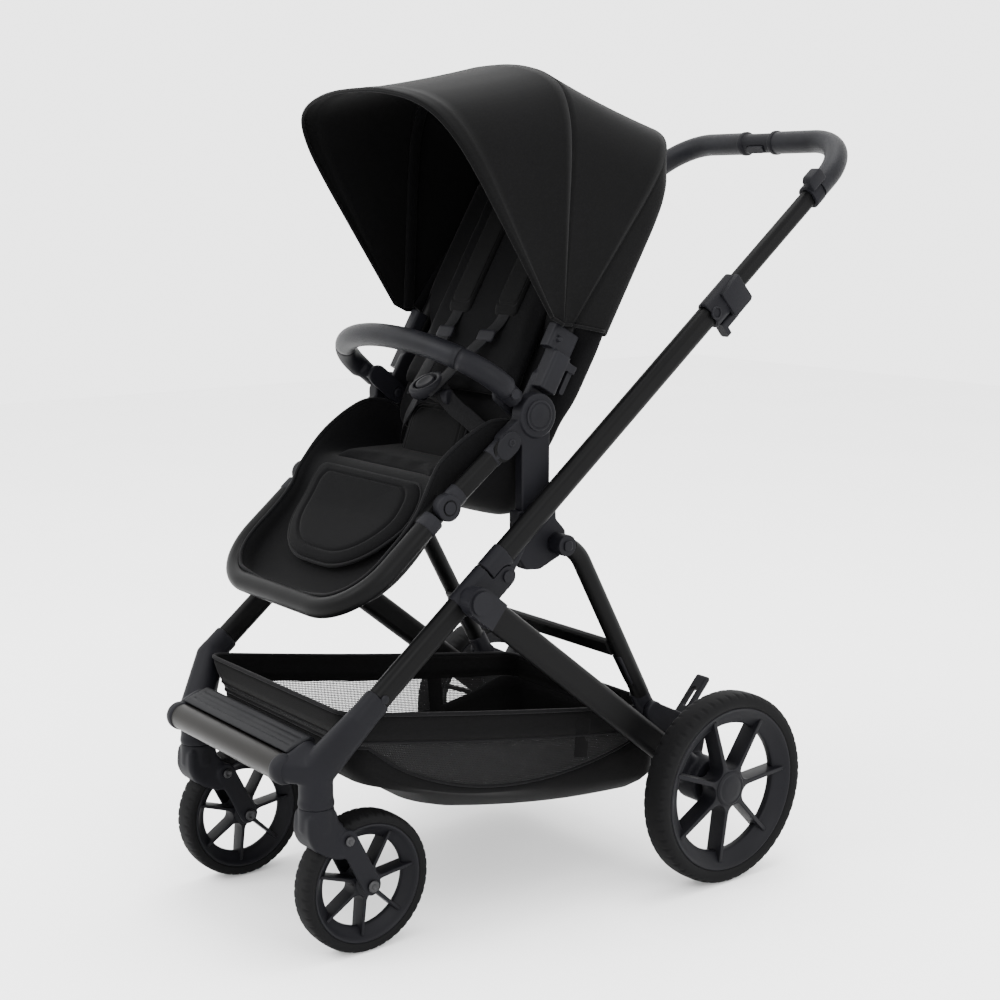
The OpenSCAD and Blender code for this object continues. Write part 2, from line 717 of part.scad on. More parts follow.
module legrest_frame() color(anodised) placed() {
    legrest_line() u_tube(legrest_x, 24, legrest_length - legrest_tube_r, legrest_bend)
        ring(legrest_tube_r, legrest_tube_r - tube_wall);
    both_sides() {
        difference() {
            across(160, 173.5) link(knee, knee + 34 * [cos(legrest_plane), sin(legrest_plane)], 14);
            pin(knee, 7 + running, 157, 176);
        }
    }
}

module legrest_pad() color(fabric) placed() legrest_line() translate([0, 30, 12]) {
    run(0, 104) round_rect(300, 34, 14);
    run(100, 148) round_rect(220, 34, 14);
}

module calf_pad() color(fabric) placed() legrest_line()
    translate([0, 22, -11.6]) run(0, 128) round_rect(210, 12, 5);

// ---- Bumper bar ----

bumper_side = 172;
bumper_straight = 66;
bumper_reach = 162;
bumper_bend = 90;
bumper_r = 13;
bumper_grip_r = 16;

module bumper_line() along(hub, bumper_plane, 0) children();

module bumper_arms() color(plastic) placed() both_sides() {
    bumper_line() difference() {
        translate([bumper_side, 0, 0]) run(36, bumper_straight) circle(bumper_r);
        translate([bumper_side + bumper_r - 4, 50, 0]) rotate([0, 90, 0]) cylinder(r = 7 + gap, h = 8);
    }
    difference() {
        across(149, 155.5) link(hub, hub + 46 * [cos(bumper_plane), sin(bumper_plane)], 15);
        pin(hub, hub_pin_r + running, 148, 157);
    }
    bumper_line() translate([150, 36, -10]) cube([18, 20, 20]);
}

module bumper_grip() color(leather) placed() bumper_line()
    u_tube(bumper_side, bumper_straight, bumper_reach, bumper_bend) circle(bumper_grip_r);

module bumper_button(s) color(pale_plastic) placed() bumper_line()
    translate([s * (bumper_side + bumper_r - 1.2), 50, 0]) rotate([0, s * 90, 0]) cylinder(r = 7, h = 3.6);
module bumper_button_left() bumper_button(1);
module bumper_button_right() bumper_button(-1);

// Adjuster button in the middle of each leg rest joint
module legrest_button(s) color(pale_plastic) placed()
    pin(knee, 8.6, s > 0 ? 183.6 : -188.6, s > 0 ? 188.6 : -183.6);
module legrest_button_left() legrest_button(1);
module legrest_button_right() legrest_button(-1);

push_tubes();
hinge_housings();
slider_housings();
seat_mounts();
handle_tube();
handle_grip();
handle_sleeve();
height_button();
fold_trigger_left();
fold_trigger_right();
front_tubes();
tube_ends();
corner_castings();
front_bar();
footrest();
pivot_pins();
basket();
caster_fork_left();
caster_fork_right();
front_tyre_left();
front_tyre_right();
front_rim_left();
front_rim_right();
rear_legs();
leg_ends();
rear_feet();
rear_axle();
brake_pedal();
rear_tyre_left();
rear_tyre_right();
rear_rim_left();
rear_rim_right();
rear_stays();
stay_ends();
stay_crossbar();
seat_hubs();
seat_arms();
seat_pad();
crotch_strap();
buckle();
buckle_button();
backrest_frame();
backrest_sleeves();
recline_levers();
backrest_pad();
shoulder_straps();
canopy_rear();
canopy_rear_bow();
canopy_mid_bow();
canopy_front();
canopy_front_bow();
legrest_frame();
legrest_pad();
calf_pad();
bumper_arms();
bumper_grip();
legrest_button_left();
legrest_button_right();
bumper_button_left();
bumper_button_right();
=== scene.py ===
"""Looks of the baby stroller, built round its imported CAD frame.

Places are written in millimetres as (x, y, z), with y measured back from the rear axle, as the design
is drawn, and at() turns them into the frame's metres. Angles are in degrees, in the side view.
"""

import json
import math

import bmesh
import bpy
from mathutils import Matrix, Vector

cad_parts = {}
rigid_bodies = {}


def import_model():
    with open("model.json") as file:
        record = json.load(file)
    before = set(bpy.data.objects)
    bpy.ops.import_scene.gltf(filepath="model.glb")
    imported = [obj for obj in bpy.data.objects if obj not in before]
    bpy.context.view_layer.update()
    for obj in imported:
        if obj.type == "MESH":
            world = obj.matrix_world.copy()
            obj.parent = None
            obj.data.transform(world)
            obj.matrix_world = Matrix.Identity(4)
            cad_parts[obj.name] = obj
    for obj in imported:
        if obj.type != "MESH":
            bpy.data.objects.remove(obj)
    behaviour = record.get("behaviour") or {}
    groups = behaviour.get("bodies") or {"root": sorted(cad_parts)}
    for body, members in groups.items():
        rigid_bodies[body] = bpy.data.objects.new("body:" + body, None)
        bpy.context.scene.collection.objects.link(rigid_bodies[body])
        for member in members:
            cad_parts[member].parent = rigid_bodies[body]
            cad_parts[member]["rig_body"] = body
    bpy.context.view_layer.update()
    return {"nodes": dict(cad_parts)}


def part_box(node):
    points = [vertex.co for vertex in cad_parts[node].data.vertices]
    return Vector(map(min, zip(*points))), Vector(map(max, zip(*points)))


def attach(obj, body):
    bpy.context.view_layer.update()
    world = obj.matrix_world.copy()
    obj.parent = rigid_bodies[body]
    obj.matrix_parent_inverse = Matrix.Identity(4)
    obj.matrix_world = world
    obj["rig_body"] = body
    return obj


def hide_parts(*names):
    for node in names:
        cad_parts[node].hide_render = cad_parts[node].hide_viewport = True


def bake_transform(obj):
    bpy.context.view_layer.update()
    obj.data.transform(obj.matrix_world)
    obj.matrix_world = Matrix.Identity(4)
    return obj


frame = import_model()
nodes = frame["nodes"]
MM = 0.001
SIDES = {"left": 1, "right": -1}


# ---- Places ----

def middle(node):
    """Middle of a CAD node's box, in millimetres in the frame."""
    low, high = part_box(node)
    return (low + high) / 2 / MM


AXLE_Y = middle("rear_axle").y


def at(x, y, z):
    return Vector((x, y + AXLE_Y, z)) * MM


def turned(origin, angle):
    """Maps (x, along, up) on a tilted line in the side view to a place in the frame."""
    c, s = math.cos(math.radians(angle)), math.sin(math.radians(angle))
    return lambda x, along, up=0.0: at(x, origin[0] + along * c - up * s, origin[1] + along * s + up * c)


HUB = (-268, 690)
KNEE = (-415, 580)
CANOPY_PIVOT = (-228, 790)
TUBE_FOOT = (-569, 323)
back = turned(HUB, 60)
leg = turned(KNEE, 220)
bumper = turned(HUB, 141)
main_tube = turned(TUBE_FOOT, 39.4)


# ---- Mesh building ----

def new_object(name, verts, faces):
    mesh = bpy.data.meshes.new(name)
    mesh.from_pydata([tuple(v) for v in verts], [], faces)
    mesh.validate()
    mesh.update()
    made = bpy.data.objects.new(name, mesh)
    bpy.context.scene.collection.objects.link(made)
    for face in mesh.polygons:
        face.use_smooth = True
    return made


def outward(obj):
    """Turns every face of a closed piece outwards."""
    work = bmesh.new()
    work.from_mesh(obj.data)
    bmesh.ops.recalc_face_normals(work, faces=work.faces)
    work.to_mesh(obj.data)
    work.free()
    return obj


def welded(obj, dist=1e-5):
    """Joins the points of a piece that lie in one place, within a distance in metres."""
    work = bmesh.new()
    work.from_mesh(obj.data)
    bmesh.ops.remove_doubles(work, verts=work.verts, dist=dist)
    work.to_mesh(obj.data)
    work.free()
    return obj


def primitive(name, create, move, **settings):
    """Object made from a bmesh primitive, with every point put through move."""
    work = bmesh.new()
    create(work, **settings)
    for v in work.verts:
        v.co = move(v.co)
    made = new_object(name, [], [])
    work.to_mesh(made.data)
    work.free()
    return made


def bake(obj):
    """Applies the piece's modifiers."""
    bpy.context.view_layer.update()
    made = bpy.data.meshes.new_from_object(obj.evaluated_get(bpy.context.evaluated_depsgraph_get()))
    obj.modifiers.clear()
    obj.data = made
    return obj


def modify(obj, kind, **settings):
    made = obj.modifiers.new(kind.lower(), kind)
    for name, value in settings.items():
        setattr(made, name, value)
    return obj


def subdivided(obj, levels=1):
    return bake(modify(obj, "SUBSURF", levels=levels, render_levels=levels))


def remeshed(obj, voxel, rounds):
    """Makes a piece one skin of even faces, voxel millimetres wide, and rounds its edges."""
    modify(obj, "REMESH", mode="VOXEL", voxel_size=voxel * MM, use_smooth_shade=True)
    return bake(modify(obj, "SMOOTH", factor=0.5, iterations=rounds))


def cut_away(obj, tool):
    """Takes a tool's shape out of a piece, and removes the tool."""
    bake(modify(obj, "BOOLEAN", operation="DIFFERENCE", object=tool, solver="EXACT"))
    bpy.data.objects.remove(tool)


def thickened(obj, thick, offset=-1):
    """Gives a sheet its thickness, in millimetres, on its inner side."""
    return bake(modify(obj, "SOLIDIFY", thickness=thick * MM, offset=offset))


def grid(name, rows, close_rows=False, close_cols=False, cap=False):
    """Surface through rows of points; cap closes the first and last rows of a tube."""
    count, width = len(rows), len(rows[0])
    verts = [p for row in rows for p in row]
    faces = []
    for i in range(count if close_rows else count - 1):
        for j in range(width if close_cols else width - 1):
            k, m = (i + 1) % count, (j + 1) % width
            faces.append((i * width + j, k * width + j, k * width + m, i * width + m))
    if cap:
        faces.append(tuple(range(width)))
        faces.append(tuple((count - 1) * width + j for j in reversed(range(width))))
    return new_object(name, verts, faces)


def solid(name, rows):
    """Closed solid through loops of points, capped at both ends."""
    return outward(grid(name, rows, close_cols=True, cap=True))


def curve(points, steps=8, closed=False):
    """Points on a smooth curve through the given points."""
    given = [Vector(p) for p in points]
    n = len(given)

    def pick(i):
        if closed:
            return given[i % n]
        if i < 0:
            return given[0] * 2 - given[1]
        return given[i] if i < n else given[-1] * 2 - given[-2]

    made = []
    for i in range(n if closed else n - 1):
        a, b, c, d = pick(i - 1), pick(i), pick(i + 1), pick(i + 2)
        for k in range(steps):
            t = k / steps
            made.append(b + (c - a) * (0.5 * t) + (a * 2 - b * 5 + c * 4 - d) * (0.5 * t * t)
                        + (b * 3 - c * 3 + d - a) * (0.5 * t ** 3))
    return made if closed else made + [given[-1]]


def sweep(name, path, section, side=(1, 0, 0), closed=False, scale=None):
    """Moves a closed section, points (across, up) in millimetres, along a path of frame points."""
    n = len(path)
    rows = []
    across = Vector(side).normalized()
    for i in range(n):
        ahead = path[(i + 1) % n] if closed or i < n - 1 else path[i]
        behind = path[i - 1] if closed or i else path[i]
        way = (ahead - behind).normalized()
        across = (across - way * across.dot(way)).normalized()
        up = way.cross(across)
        k = (scale[i] if scale else 1) * MM
        rows.append([path[i] + across * (a * k) + up * (b * k) for a, b in section])
    return outward(grid(name, rows, close_rows=closed, close_cols=True, cap=not closed))


def disc(rx, ry=None, n=16):
    """Points round a circle or an ellipse."""
    ry = rx if ry is None else ry
    return [(rx * math.cos(2 * math.pi * k / n), ry * math.sin(2 * math.pi * k / n)) for k in range(n)]


def ribbon(width, thick, n=5):
    """Flat section with rounded edges, for straps and tapes."""
    half, r = width / 2, thick / 2
    edge = [(half - r + r * math.cos(a), r * math.sin(a))
            for a in (math.pi * (k / (n - 1) - 0.5) for k in range(n))]
    return edge + [(-x, -y) for x, y in edge]


def plate(name, outline, x0, x1, bevel=1.0, sharp=40):
    """Side-view outline of (y, z) points, thick from x0 to x1, with edges over the sharp angle rounded."""
    n = len(outline)
    verts = [at(x, y, z) for x in (x0, x1) for y, z in outline]
    faces = [tuple(range(n)), tuple(range(2 * n - 1, n - 1, -1))]
    faces += [(i, n + i, n + (i + 1) % n, (i + 1) % n) for i in range(n)]
    made = outward(new_object(name, verts, faces))
    return bake(modify(made, "BEVEL", width=bevel * MM, segments=3, limit_method="ANGLE",
                       angle_limit=math.radians(sharp)))


def arc(centre, r, a0, a1, n=10):
    """Points from one angle to another on a circle."""
    return [(centre[0] + r * math.cos(math.radians(a0 + (a1 - a0) * k / n)),
             centre[1] + r * math.sin(math.radians(a0 + (a1 - a0) * k / n))) for k in range(n + 1)]


def link(a, b, r):
    """Outline of a flat link between two side-view points, with round ends."""
    way = math.degrees(math.atan2(b[1] - a[1], b[0] - a[0]))
    return arc(a, r, way + 90, way + 270) + arc(b, r, way - 90, way + 90)


def turned_ring(name, profile, x, centre, segments=96, depth=None):
    """Revolves (radius, x offset) points about the X axis; depth(k, j) takes off some radius."""
    rows = []
    for k in range(segments):
        angle = 2 * math.pi * k / segments
        row = []
        for j, (r, dx) in enumerate(profile):
            r -= depth(k, j) if depth else 0
            row.append(at(x + dx, centre[0] + r * math.cos(angle), centre[1] + r * math.sin(angle)))
        rows.append(row)
    return outward(grid(name, rows, close_rows=True, close_cols=True))


def button(name, profile, x, s, centre, segments=40):
    """Solid of revolution about X with its outer end towards s; profile goes (radius, x offset)."""
    return solid(name, [[at(x + s * dx, centre[0] + y, centre[1] + z) for y, z in disc(r, n=segments)]
                        for r, dx in profile])


def merged(name, parts):
    """Joins pieces into one object."""
    verts, faces = [], []
    for part in parts:
        start = len(verts)
        verts += [part.matrix_world @ v.co for v in part.data.vertices]
        faces += [tuple(start + i for i in face.vertices) for face in part.data.polygons]
        bpy.data.objects.remove(part)
    return new_object(name, verts, faces)


# ---- Materials ----

def put(tree, kind, settings=None, **inputs):
    """Adds a shader node; an input is a value or another node's socket."""
    made = tree.nodes.new(kind)
    for name, value in (settings or {}).items():
        setattr(made, name, value)
    for name, value in inputs.items():
        socket = made.inputs[int(name[1:]) if name[0] == "_" else name.replace("_", " ")]
        if isinstance(value, bpy.types.NodeSocket):
            tree.links.new(value, socket)
        else:
            socket.default_value = value
    return made


def finish_of(name, tone, roughness, **constant):
    """Starts a material: its tree, its shader and its object coordinates."""
    made = bpy.data.materials.new(name)
    made.use_nodes = True
    tree = made.node_tree
    shader = tree.nodes["Principled BSDF"]
    shader.inputs["Base Color"].default_value = (*tone, 1)
    shader.inputs["Roughness"].default_value = roughness
    for key, value in constant.items():
        shader.inputs[key.replace("_", " ")].default_value = value
    return made, tree, shader, put(tree, "ShaderNodeTexCoord").outputs["Object"]


def noise(tree, place, scale, detail=2.0):
    return put(tree, "ShaderNodeTexNoise", Vector=place, Scale=scale, Detail=detail).outputs["Fac"]


def ranged(tree, value, **ends):
    return put(tree, "ShaderNodeMapRange", Value=value, **ends).outputs["Result"]


def raised(tree, shader, height, strength, distance=0.0003):
    """Bump that follows a height."""
    relief = put(tree, "ShaderNodeBump", Height=height, Strength=strength, Distance=distance)
    tree.links.new(relief.outputs["Normal"], shader.inputs["Normal"])


def shaded(tree, amount, tone, spread, low=0.35, high=0.65):
    """Colour that varies round a tone as amount goes from low to high."""
    ramp = put(tree, "ShaderNodeValToRGB", Fac=amount)
    ramp.color_ramp.elements[0].position = low
    ramp.color_ramp.elements[1].position = high
    ramp.color_ramp.elements[0].color = (*(c * (1 - spread) for c in tone), 1)
    ramp.color_ramp.elements[1].color = (*(c * (1 + spread) for c in tone), 1)
    return ramp.outputs["Color"]


def hard_finish(name, tone, roughness, grain, bump, worn=0.0, **constant):
    """Moulded or anodised surface: fine grain, slow variation in gloss, and paler edges, part wear and part
    painted highlight.
    """
    made, tree, shader, place = finish_of(name, tone, roughness, **constant)
    fine = noise(tree, place, grain, 3.0)
    slow = noise(tree, place, 14.0, 4.0)
    colour = shaded(tree, slow, tone, 0.14)
    if worn:
        # Convex edges painted paler: part wear, part painted highlight along the edges
        edge = put(tree, "ShaderNodeNewGeometry").outputs["Pointiness"]
        wear_and_highlight_mask = ranged(tree, edge, From_Min=0.52, From_Max=0.60, To_Max=0.45)
        pale = tuple(min(1.0, c * worn + 0.006) for c in tone)
        colour = put(tree, "ShaderNodeMix", {"data_type": "RGBA"}, _0=wear_and_highlight_mask, _6=colour,
                     _7=(*pale, 1)).outputs[2]
    tree.links.new(colour, shader.inputs["Base Color"])
    gloss = ranged(tree, slow, From_Min=0.3, From_Max=0.7, To_Min=roughness - 0.05, To_Max=roughness + 0.06)
    tree.links.new(gloss, shader.inputs["Roughness"])
    raised(tree, shader, fine, bump)
    return made


def threads(tree, place, pitch):
    """Crossing yarns about as far apart as the pitch, in millimetres: noise drawn out along each way."""
    fine, long = 1 / (pitch * MM), 0.22 / (pitch * MM)
    high = None
    for scale in ((long, fine, fine), (fine, long, long * 1.6)):
        drawn = put(tree, "ShaderNodeMapping", Vector=place, Scale=scale)
        yarn = noise(tree, drawn.outputs["Vector"], 1.0, 1.0)
        high = yarn if high is None else put(tree, "ShaderNodeMath", {"operation": "MAXIMUM"}, _0=high,
                                             _1=yarn).outputs[0]
    return high


def cloth_finish(name, tone, pitch=0.9, bump=0.5, spread=0.4, roughness=0.88, sheen=0.03):
    """Woven fabric: crossing threads, flecked yarn and a soft sheen."""
    made, tree, shader, place = finish_of(name, tone, roughness, Sheen_Weight=sheen, Sheen_Roughness=0.4,
                                          Specular_IOR_Level=0.06)
    weave = threads(tree, place, pitch)
    slow = noise(tree, place, 9.0, 3.0)
    both = put(tree, "ShaderNodeMath", {"operation": "MULTIPLY_ADD"}, _0=weave, _1=0.75,
               _2=put(tree, "ShaderNodeMath", {"operation": "MULTIPLY"}, _0=slow, _1=0.25).outputs[0])
    tree.links.new(shaded(tree, both.outputs[0], tone, spread, 0.42, 0.68), shader.inputs["Base Color"])
    raised(tree, shader, weave, bump, 0.0004)
    return made


def leather_finish(name, tone, roughness):
    """Imitation leather: a fine pored grain and a thin coat."""
    made, tree, shader, place = finish_of(name, tone, roughness, Coat_Weight=0.015, Coat_Roughness=0.3,
                                          Specular_IOR_Level=0.08)
    cells = put(tree, "ShaderNodeTexVoronoi", {"feature": "DISTANCE_TO_EDGE"}, Vector=place,
                Scale=620.0).outputs["Distance"]
    slow = noise(tree, place, 40.0, 4.0)
    tree.links.new(shaded(tree, slow, tone, 0.18), shader.inputs["Base Color"])
    raised(tree, shader, ranged(tree, cells, From_Max=0.12), 0.3)
    return made


def mesh_finish(name, tone, pitch):
    """Open net: yarn with square holes that let the light through."""
    made, tree, shader, place = finish_of(name, tone, 0.7, Sheen_Weight=0.04, Specular_IOR_Level=0.1)
    tilted = put(tree, "ShaderNodeMapping", Vector=place, Rotation=(math.radians(8), 0, 0))
    high = None
    for axis in ("Y", "Z"):
        wave = put(tree, "ShaderNodeTexWave", {"wave_type": "BANDS", "bands_direction": axis},
                   Vector=tilted.outputs["Vector"], Scale=0.31416 / (pitch * MM)).outputs["Fac"]
        high = wave if high is None else put(tree, "ShaderNodeMath", {"operation": "MULTIPLY"}, _0=high,
                                             _1=wave).outputs[0]
    holes = ranged(tree, high, From_Min=0.20, From_Max=0.32, To_Min=1.0, To_Max=0.0)
    tree.links.new(holes, shader.inputs["Alpha"])
    tree.links.new(shaded(tree, high, tone, 0.3), shader.inputs["Base Color"])
    return made


GLOSS = dict(Specular_IOR_Level=0.07)
ANODISED = hard_finish("anodised_tube", (0.0013, 0.0013, 0.0014), 0.44, 700.0, 0.10, Specular_IOR_Level=0.055)
PLASTIC = hard_finish("moulded_plastic", (0.0032, 0.0032, 0.0043), 0.55, 800.0, 0.18, 1.4, **GLOSS)
PALE_PLASTIC = hard_finish("pale_plastic", (0.0044, 0.0044, 0.0056), 0.50, 800.0, 0.18, **GLOSS)
RIM = hard_finish("rim_plastic", (0.0034, 0.0034, 0.0044), 0.50, 800.0, 0.18, 1.4, **GLOSS)
TYRE = hard_finish("tyre_rubber", (0.0022, 0.0022, 0.0024), 0.74, 600.0, 0.4, 1.3, Specular_IOR_Level=0.06)
STEEL = hard_finish("bolt_steel", (0.012, 0.012, 0.013), 0.40, 700.0, 0.1, Metallic=0.6)
DARK_STEEL = hard_finish("axle_steel", (0.012, 0.012, 0.013), 0.42, 700.0, 0.1, Metallic=0.6)
BAR = hard_finish("front_bar_metal", (0.0078, 0.0073, 0.0066), 0.38, 700.0, 0.1, Metallic=0.4, **GLOSS)
STEP = hard_finish("footrest_plastic", (0.0028, 0.0029, 0.0036), 0.48, 800.0, 0.18, **GLOSS)
LEATHER = leather_finish("grip_leather", (0.0034, 0.0035, 0.0046), 0.48)
FABRIC = cloth_finish("seat_fabric", (0.0013, 0.0013, 0.0014))
LINING = cloth_finish("lining_fabric", (0.0011, 0.0011, 0.0013), pitch=0.8)
# Pad fabric is the seat fabric painted darker: painted shade that offsets the light falling on the upward-facing
# pads
SHADE_DARKENED_PAD = cloth_finish("pad_fabric", (0.0007, 0.0007, 0.0009), pitch=1.1, bump=0.55, sheen=0.015)
WEBBING = cloth_finish("webbing", (0.0030, 0.0030, 0.0034), pitch=1.6, bump=0.8, sheen=0.03, roughness=0.7)
PIPING = cloth_finish("piping_fabric", (0.0020, 0.0020, 0.0023), pitch=0.8, sheen=0.03, roughness=0.75)
NET = mesh_finish("basket_net", (0.005, 0.005, 0.0053), 2.6)


def dress(obj, finish, body=None, stands_for=()):
    """Gives a piece its material, the body it rides on and the CAD nodes it stands for."""
    obj.data.materials.clear()
    obj.data.materials.append(finish)
    if stands_for:
        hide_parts(*stands_for)
    if body:
        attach(obj, body)
    return obj


# ---- Carried-over CAD nodes ----

CAD_FINISHES = {
    ANODISED: ["push_tubes", "handle_tube", "front_tubes", "rear_legs", "rear_stays", "stay_crossbar",
               "seat_arms", "backrest_frame", "legrest_frame"],
    PALE_PLASTIC: ["fold_trigger_left", "fold_trigger_right", "height_button", "buckle_button",
                   "recline_levers", "legrest_button_left", "legrest_button_right", "bumper_button_left",
                   "bumper_button_right", "leg_ends", "pivot_pins"],
    BAR: ["front_bar"],
    DARK_STEEL: ["rear_axle"],
    LEATHER: ["handle_grip"],
}
for finish, names in CAD_FINISHES.items():
    for name in names:
        for place in nodes[name].material_slots:
            place.material = finish

BODY_OF = {name: nodes[name]["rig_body"] for name in nodes}


def moulded(node, finish, slot, voxel=1.7, rounds=5, top=None):
    """Moulded piece: the CAD node's shape with every edge rounded, as the real casting has, up to a top."""
    piece = bpy.data.objects.new(node + "_moulded", nodes[node].data.copy())
    bpy.context.scene.collection.objects.link(piece)
    welded(piece, 1e-6)
    if top:
        cut_away(piece, primitive(node + "_above", bmesh.ops.create_cube, lambda co: Vector(
            (co.x, co.y, co.z * 0.2 + top * MM + 0.1)), size=1))
    return dress(remeshed(piece, voxel, rounds), finish, BODY_OF[node], [node])


MOULDED = [
    ("corner_castings", PLASTIC, "plastic", 2.0, 12),
    ("hinge_housings", PLASTIC, "plastic", 1.6, 5),
    ("tube_ends", PLASTIC, "plastic", 1.6, 5),
    ("slider_housings", PLASTIC, "plastic", 1.5, 9),
    ("seat_mounts", PLASTIC, "plastic", 1.8, 6, 562),
    ("seat_hubs", PLASTIC, "plastic", 1.6, 5),
    ("backrest_sleeves", PALE_PLASTIC, "pale_plastic", 1.4, 4),
    ("rear_feet", PLASTIC, "plastic", 2.0, 6),
    ("stay_ends", PLASTIC, "plastic", 1.5, 4),
    ("bumper_arms", PLASTIC, "plastic", 1.3, 3),
    ("brake_pedal", PLASTIC, "plastic", 1.2, 3),
    ("handle_sleeve", PLASTIC, "plastic", 1.3, 3),
    ("footrest", STEP, "pale_plastic", 1.5, 3),
]
for row in MOULDED:
    moulded(*row)


# ---- Wheels ----

SPOKES = 7
REAR_RIM_R = 119
REAR_AXLE = (0, 140)
FRONT_AXLE = (-544, 95)
CASTER_X = 164


def spider(name, x, centre, rim_r, half_depth, fillet, half_thick, turn):
    """Deep thin spokes with round fillets between them at the hub."""
    outline = []
    half = math.pi / SPOKES
    reach = (fillet + half_thick) / math.sin(half)
    tip = half_thick * 0.78
    for i in range(SPOKES):
        bisector = turn + 2 * half * (i + 0.5)
        first, last = bisector - half, bisector + half

        def off_line(angle, along, across):
            return (centre[0] + along * math.cos(angle) - across * math.sin(angle),
                    centre[1] + along * math.sin(angle) + across * math.cos(angle))

        outline.append(off_line(first, rim_r, tip))
        middle_of = (centre[0] + reach * math.cos(bisector), centre[1] + reach * math.sin(bisector))
        outline += arc(middle_of, fillet, math.degrees(first) - 90, math.degrees(last) + 90 - 360, 12)
        outline.append(off_line(last, rim_r, -tip))
    return plate(name, outline, x - half_depth, x + half_depth, 1.1, 50)


# Half of a tyre's section, from over its bead to its crown: (share of the wall, share of half the width)
TYRE_SECTION = [(0.02, 0.84), (0.16, 0.95), (0.42, 1), (0.66, 0.985), (0.80, 0.92), (0.89, 0.82), (0.945, 0.70),
                (0.975, 0.52), (0.99, 0.36), (1, 0.16)]
# Depth of the tread's grooves at the section's points, counted from the bead
TREAD = {5: 0.9, 6: 1.5, 7: 1.6, 8: 0.8}
BLOCK_STEPS = 8
TREAD_BLOCKS = {"rear": 54, "front": 44}


def wheel(kind, side, radius, width, rim_r, inner_r, hub_r, centre, x, hub_face, turn):
    """Tyre with blocks cut in its shoulders, spoked rim and hub cap; hub_face is the cap's offset from x."""
    s = SIDES[side]
    body = f"{kind}_wheel_{side}"
    half = width / 2
    wall = radius - rim_r
    shape = [(rim_r - 2, half * 0.60)] + [(rim_r + wall * a, half * b) for a, b in TYRE_SECTION]
    profile = shape + [(r, -dx) for r, dx in reversed(shape)]

    def depth(k, j):
        if j >= len(shape):
            j, k = len(profile) - 1 - j, k + BLOCK_STEPS // 2
        return TREAD.get(j, 0) if k % BLOCK_STEPS in (0, 1) else 0

    tyre = turned_ring(f"{body}_tyre", profile, x, centre, TREAD_BLOCKS[kind] * BLOCK_STEPS, depth)
    dress(tyre, TYRE, body, [f"{kind}_tyre_{side}"])

    depth_in = half * 0.86
    flare = rim_r - inner_r
    lip = [(rim_r, half * 0.62), (rim_r + 0.6, depth_in), (rim_r - 0.6, depth_in + 1.0),
           (rim_r - 2.2, depth_in + 0.6), (rim_r - flare * 0.28, depth_in - 3.4),
           (rim_r - flare * 0.55, depth_in - 7.8), (rim_r - flare * 0.80, depth_in - 11.0),
           (inner_r + 1.2, depth_in - 12.6), (inner_r, depth_in - 14.0)]
    ring = turned_ring(f"{body}_ring", lip + [(r, -dx) for r, dx in reversed(lip)], x, centre)
    scale = rim_r / REAR_RIM_R
    spokes = spider(f"{body}_spokes", x, centre, inner_r + flare * 0.62, half * 0.66, 15 * scale,
                    3.3 * scale + 0.3, math.radians(turn))
    barrel = button(f"{body}_barrel", [(hub_r * a, half * b) for a, b in (
        (0.98, -0.80), (1.02, -0.76), (1.02, 0.70), (0.98, 0.75))], x, s, centre)
    rim = merged(f"{body}_rim", [ring, spokes, barrel])
    dress(rim, RIM, body, [f"{kind}_rim_{side}"])
    cap = button(f"{body}_cap", [(hub_r * 0.97, half * 0.6)] + [(hub_r * a, hub_face + b) for a, b in (
        (0.97, -1.4), (0.93, -0.4), (0.86, 0), (0.80, -0.9), (0.74, -0.2), (0.4, 0.5), (0.05, 0.7))], x, s, centre)
    dress(cap, RIM, body)


for side, s in SIDES.items():
    wheel("rear", side, 140, 43, REAR_RIM_R, 95, 25, REAR_AXLE, s * 281.4, 17.5, 4.5)
    wheel("front", side, 95, 38, 80, 61.5, 17, FRONT_AXLE, s * CASTER_X, 14.0, 7.0)


FORK_LINE = [(-630, 206), (-634, 190), (-633, 174), (-624, 158), (-606, 146), (-586, 140), (-566, 146),
             (-560, 158), (-565, 170), (-576, 181), (-588, 192), (-592, 206), (-611, 209)]
FORK_SHOULDER = (-579, 165)
FORK_OUTER, FORK_INNER = 27, 21.5


def caster_fork(side):
    """Round neck that flows back into the two arms that hold the wheel."""
    x = SIDES[side] * CASTER_X
    line = [(p.x, p.y) for p in curve([(y, z, 0) for y, z in FORK_LINE], 5, closed=True)]
    shell = plate(f"fork_{side}", line, x - FORK_OUTER, x + FORK_OUTER, 7)
    for v in shell.data.vertices:
        narrowing = 0.22 * min(1.0, max(0.0, (v.co.z / MM - 145) / 55))
        v.co.x += (x * MM - v.co.x) * narrowing
    cut_away(shell, turned_ring(f"room_{side}", [(98, -FORK_INNER), (98, FORK_INNER), (2, FORK_INNER),
                                                 (2, -FORK_INNER)], x, FRONT_AXLE, 64))
    arms = [plate(f"arm_{side}_{x0}", link(FORK_SHOULDER, FRONT_AXLE, 14), x + x0, x + x0 + 5.5, 1.5)
            for x0 in (-FORK_OUTER, FORK_INNER)]
    axle = button(f"axle_{side}", [(6, -26), (6, 26)], x, 1, FRONT_AXLE, 24)
    neck = primitive(f"neck_{side}", bmesh.ops.create_cone, lambda co: co + at(x, -611, 197), cap_ends=True,
                     segments=48, radius1=24.5 * MM, radius2=23 * MM, depth=30 * MM)
    fork = merged(f"caster_fork_{side}", [shell, neck, axle] + arms)
    dress(remeshed(fork, 1.6, 8), PLASTIC, f"caster_{side}", [f"caster_fork_{side}"])


for side in SIDES:
    caster_fork(side)


BOLT_PROUD = 2.2


def bolt(name, r, x, s, centre, body, finish=STEEL):
    """Button-head bolt with a round socket."""
    head = button(name + "_head", [(r * a, BOLT_PROUD * b) for a, b in (
        (1, 0), (1, 0.45), (0.86, 0.85), (0.62, 1), (0.50, 1), (0.46, 0.3), (0.05, 0.3))], x, s, centre, 30)
    dress(head, finish, body)


# ---- Canopy ----

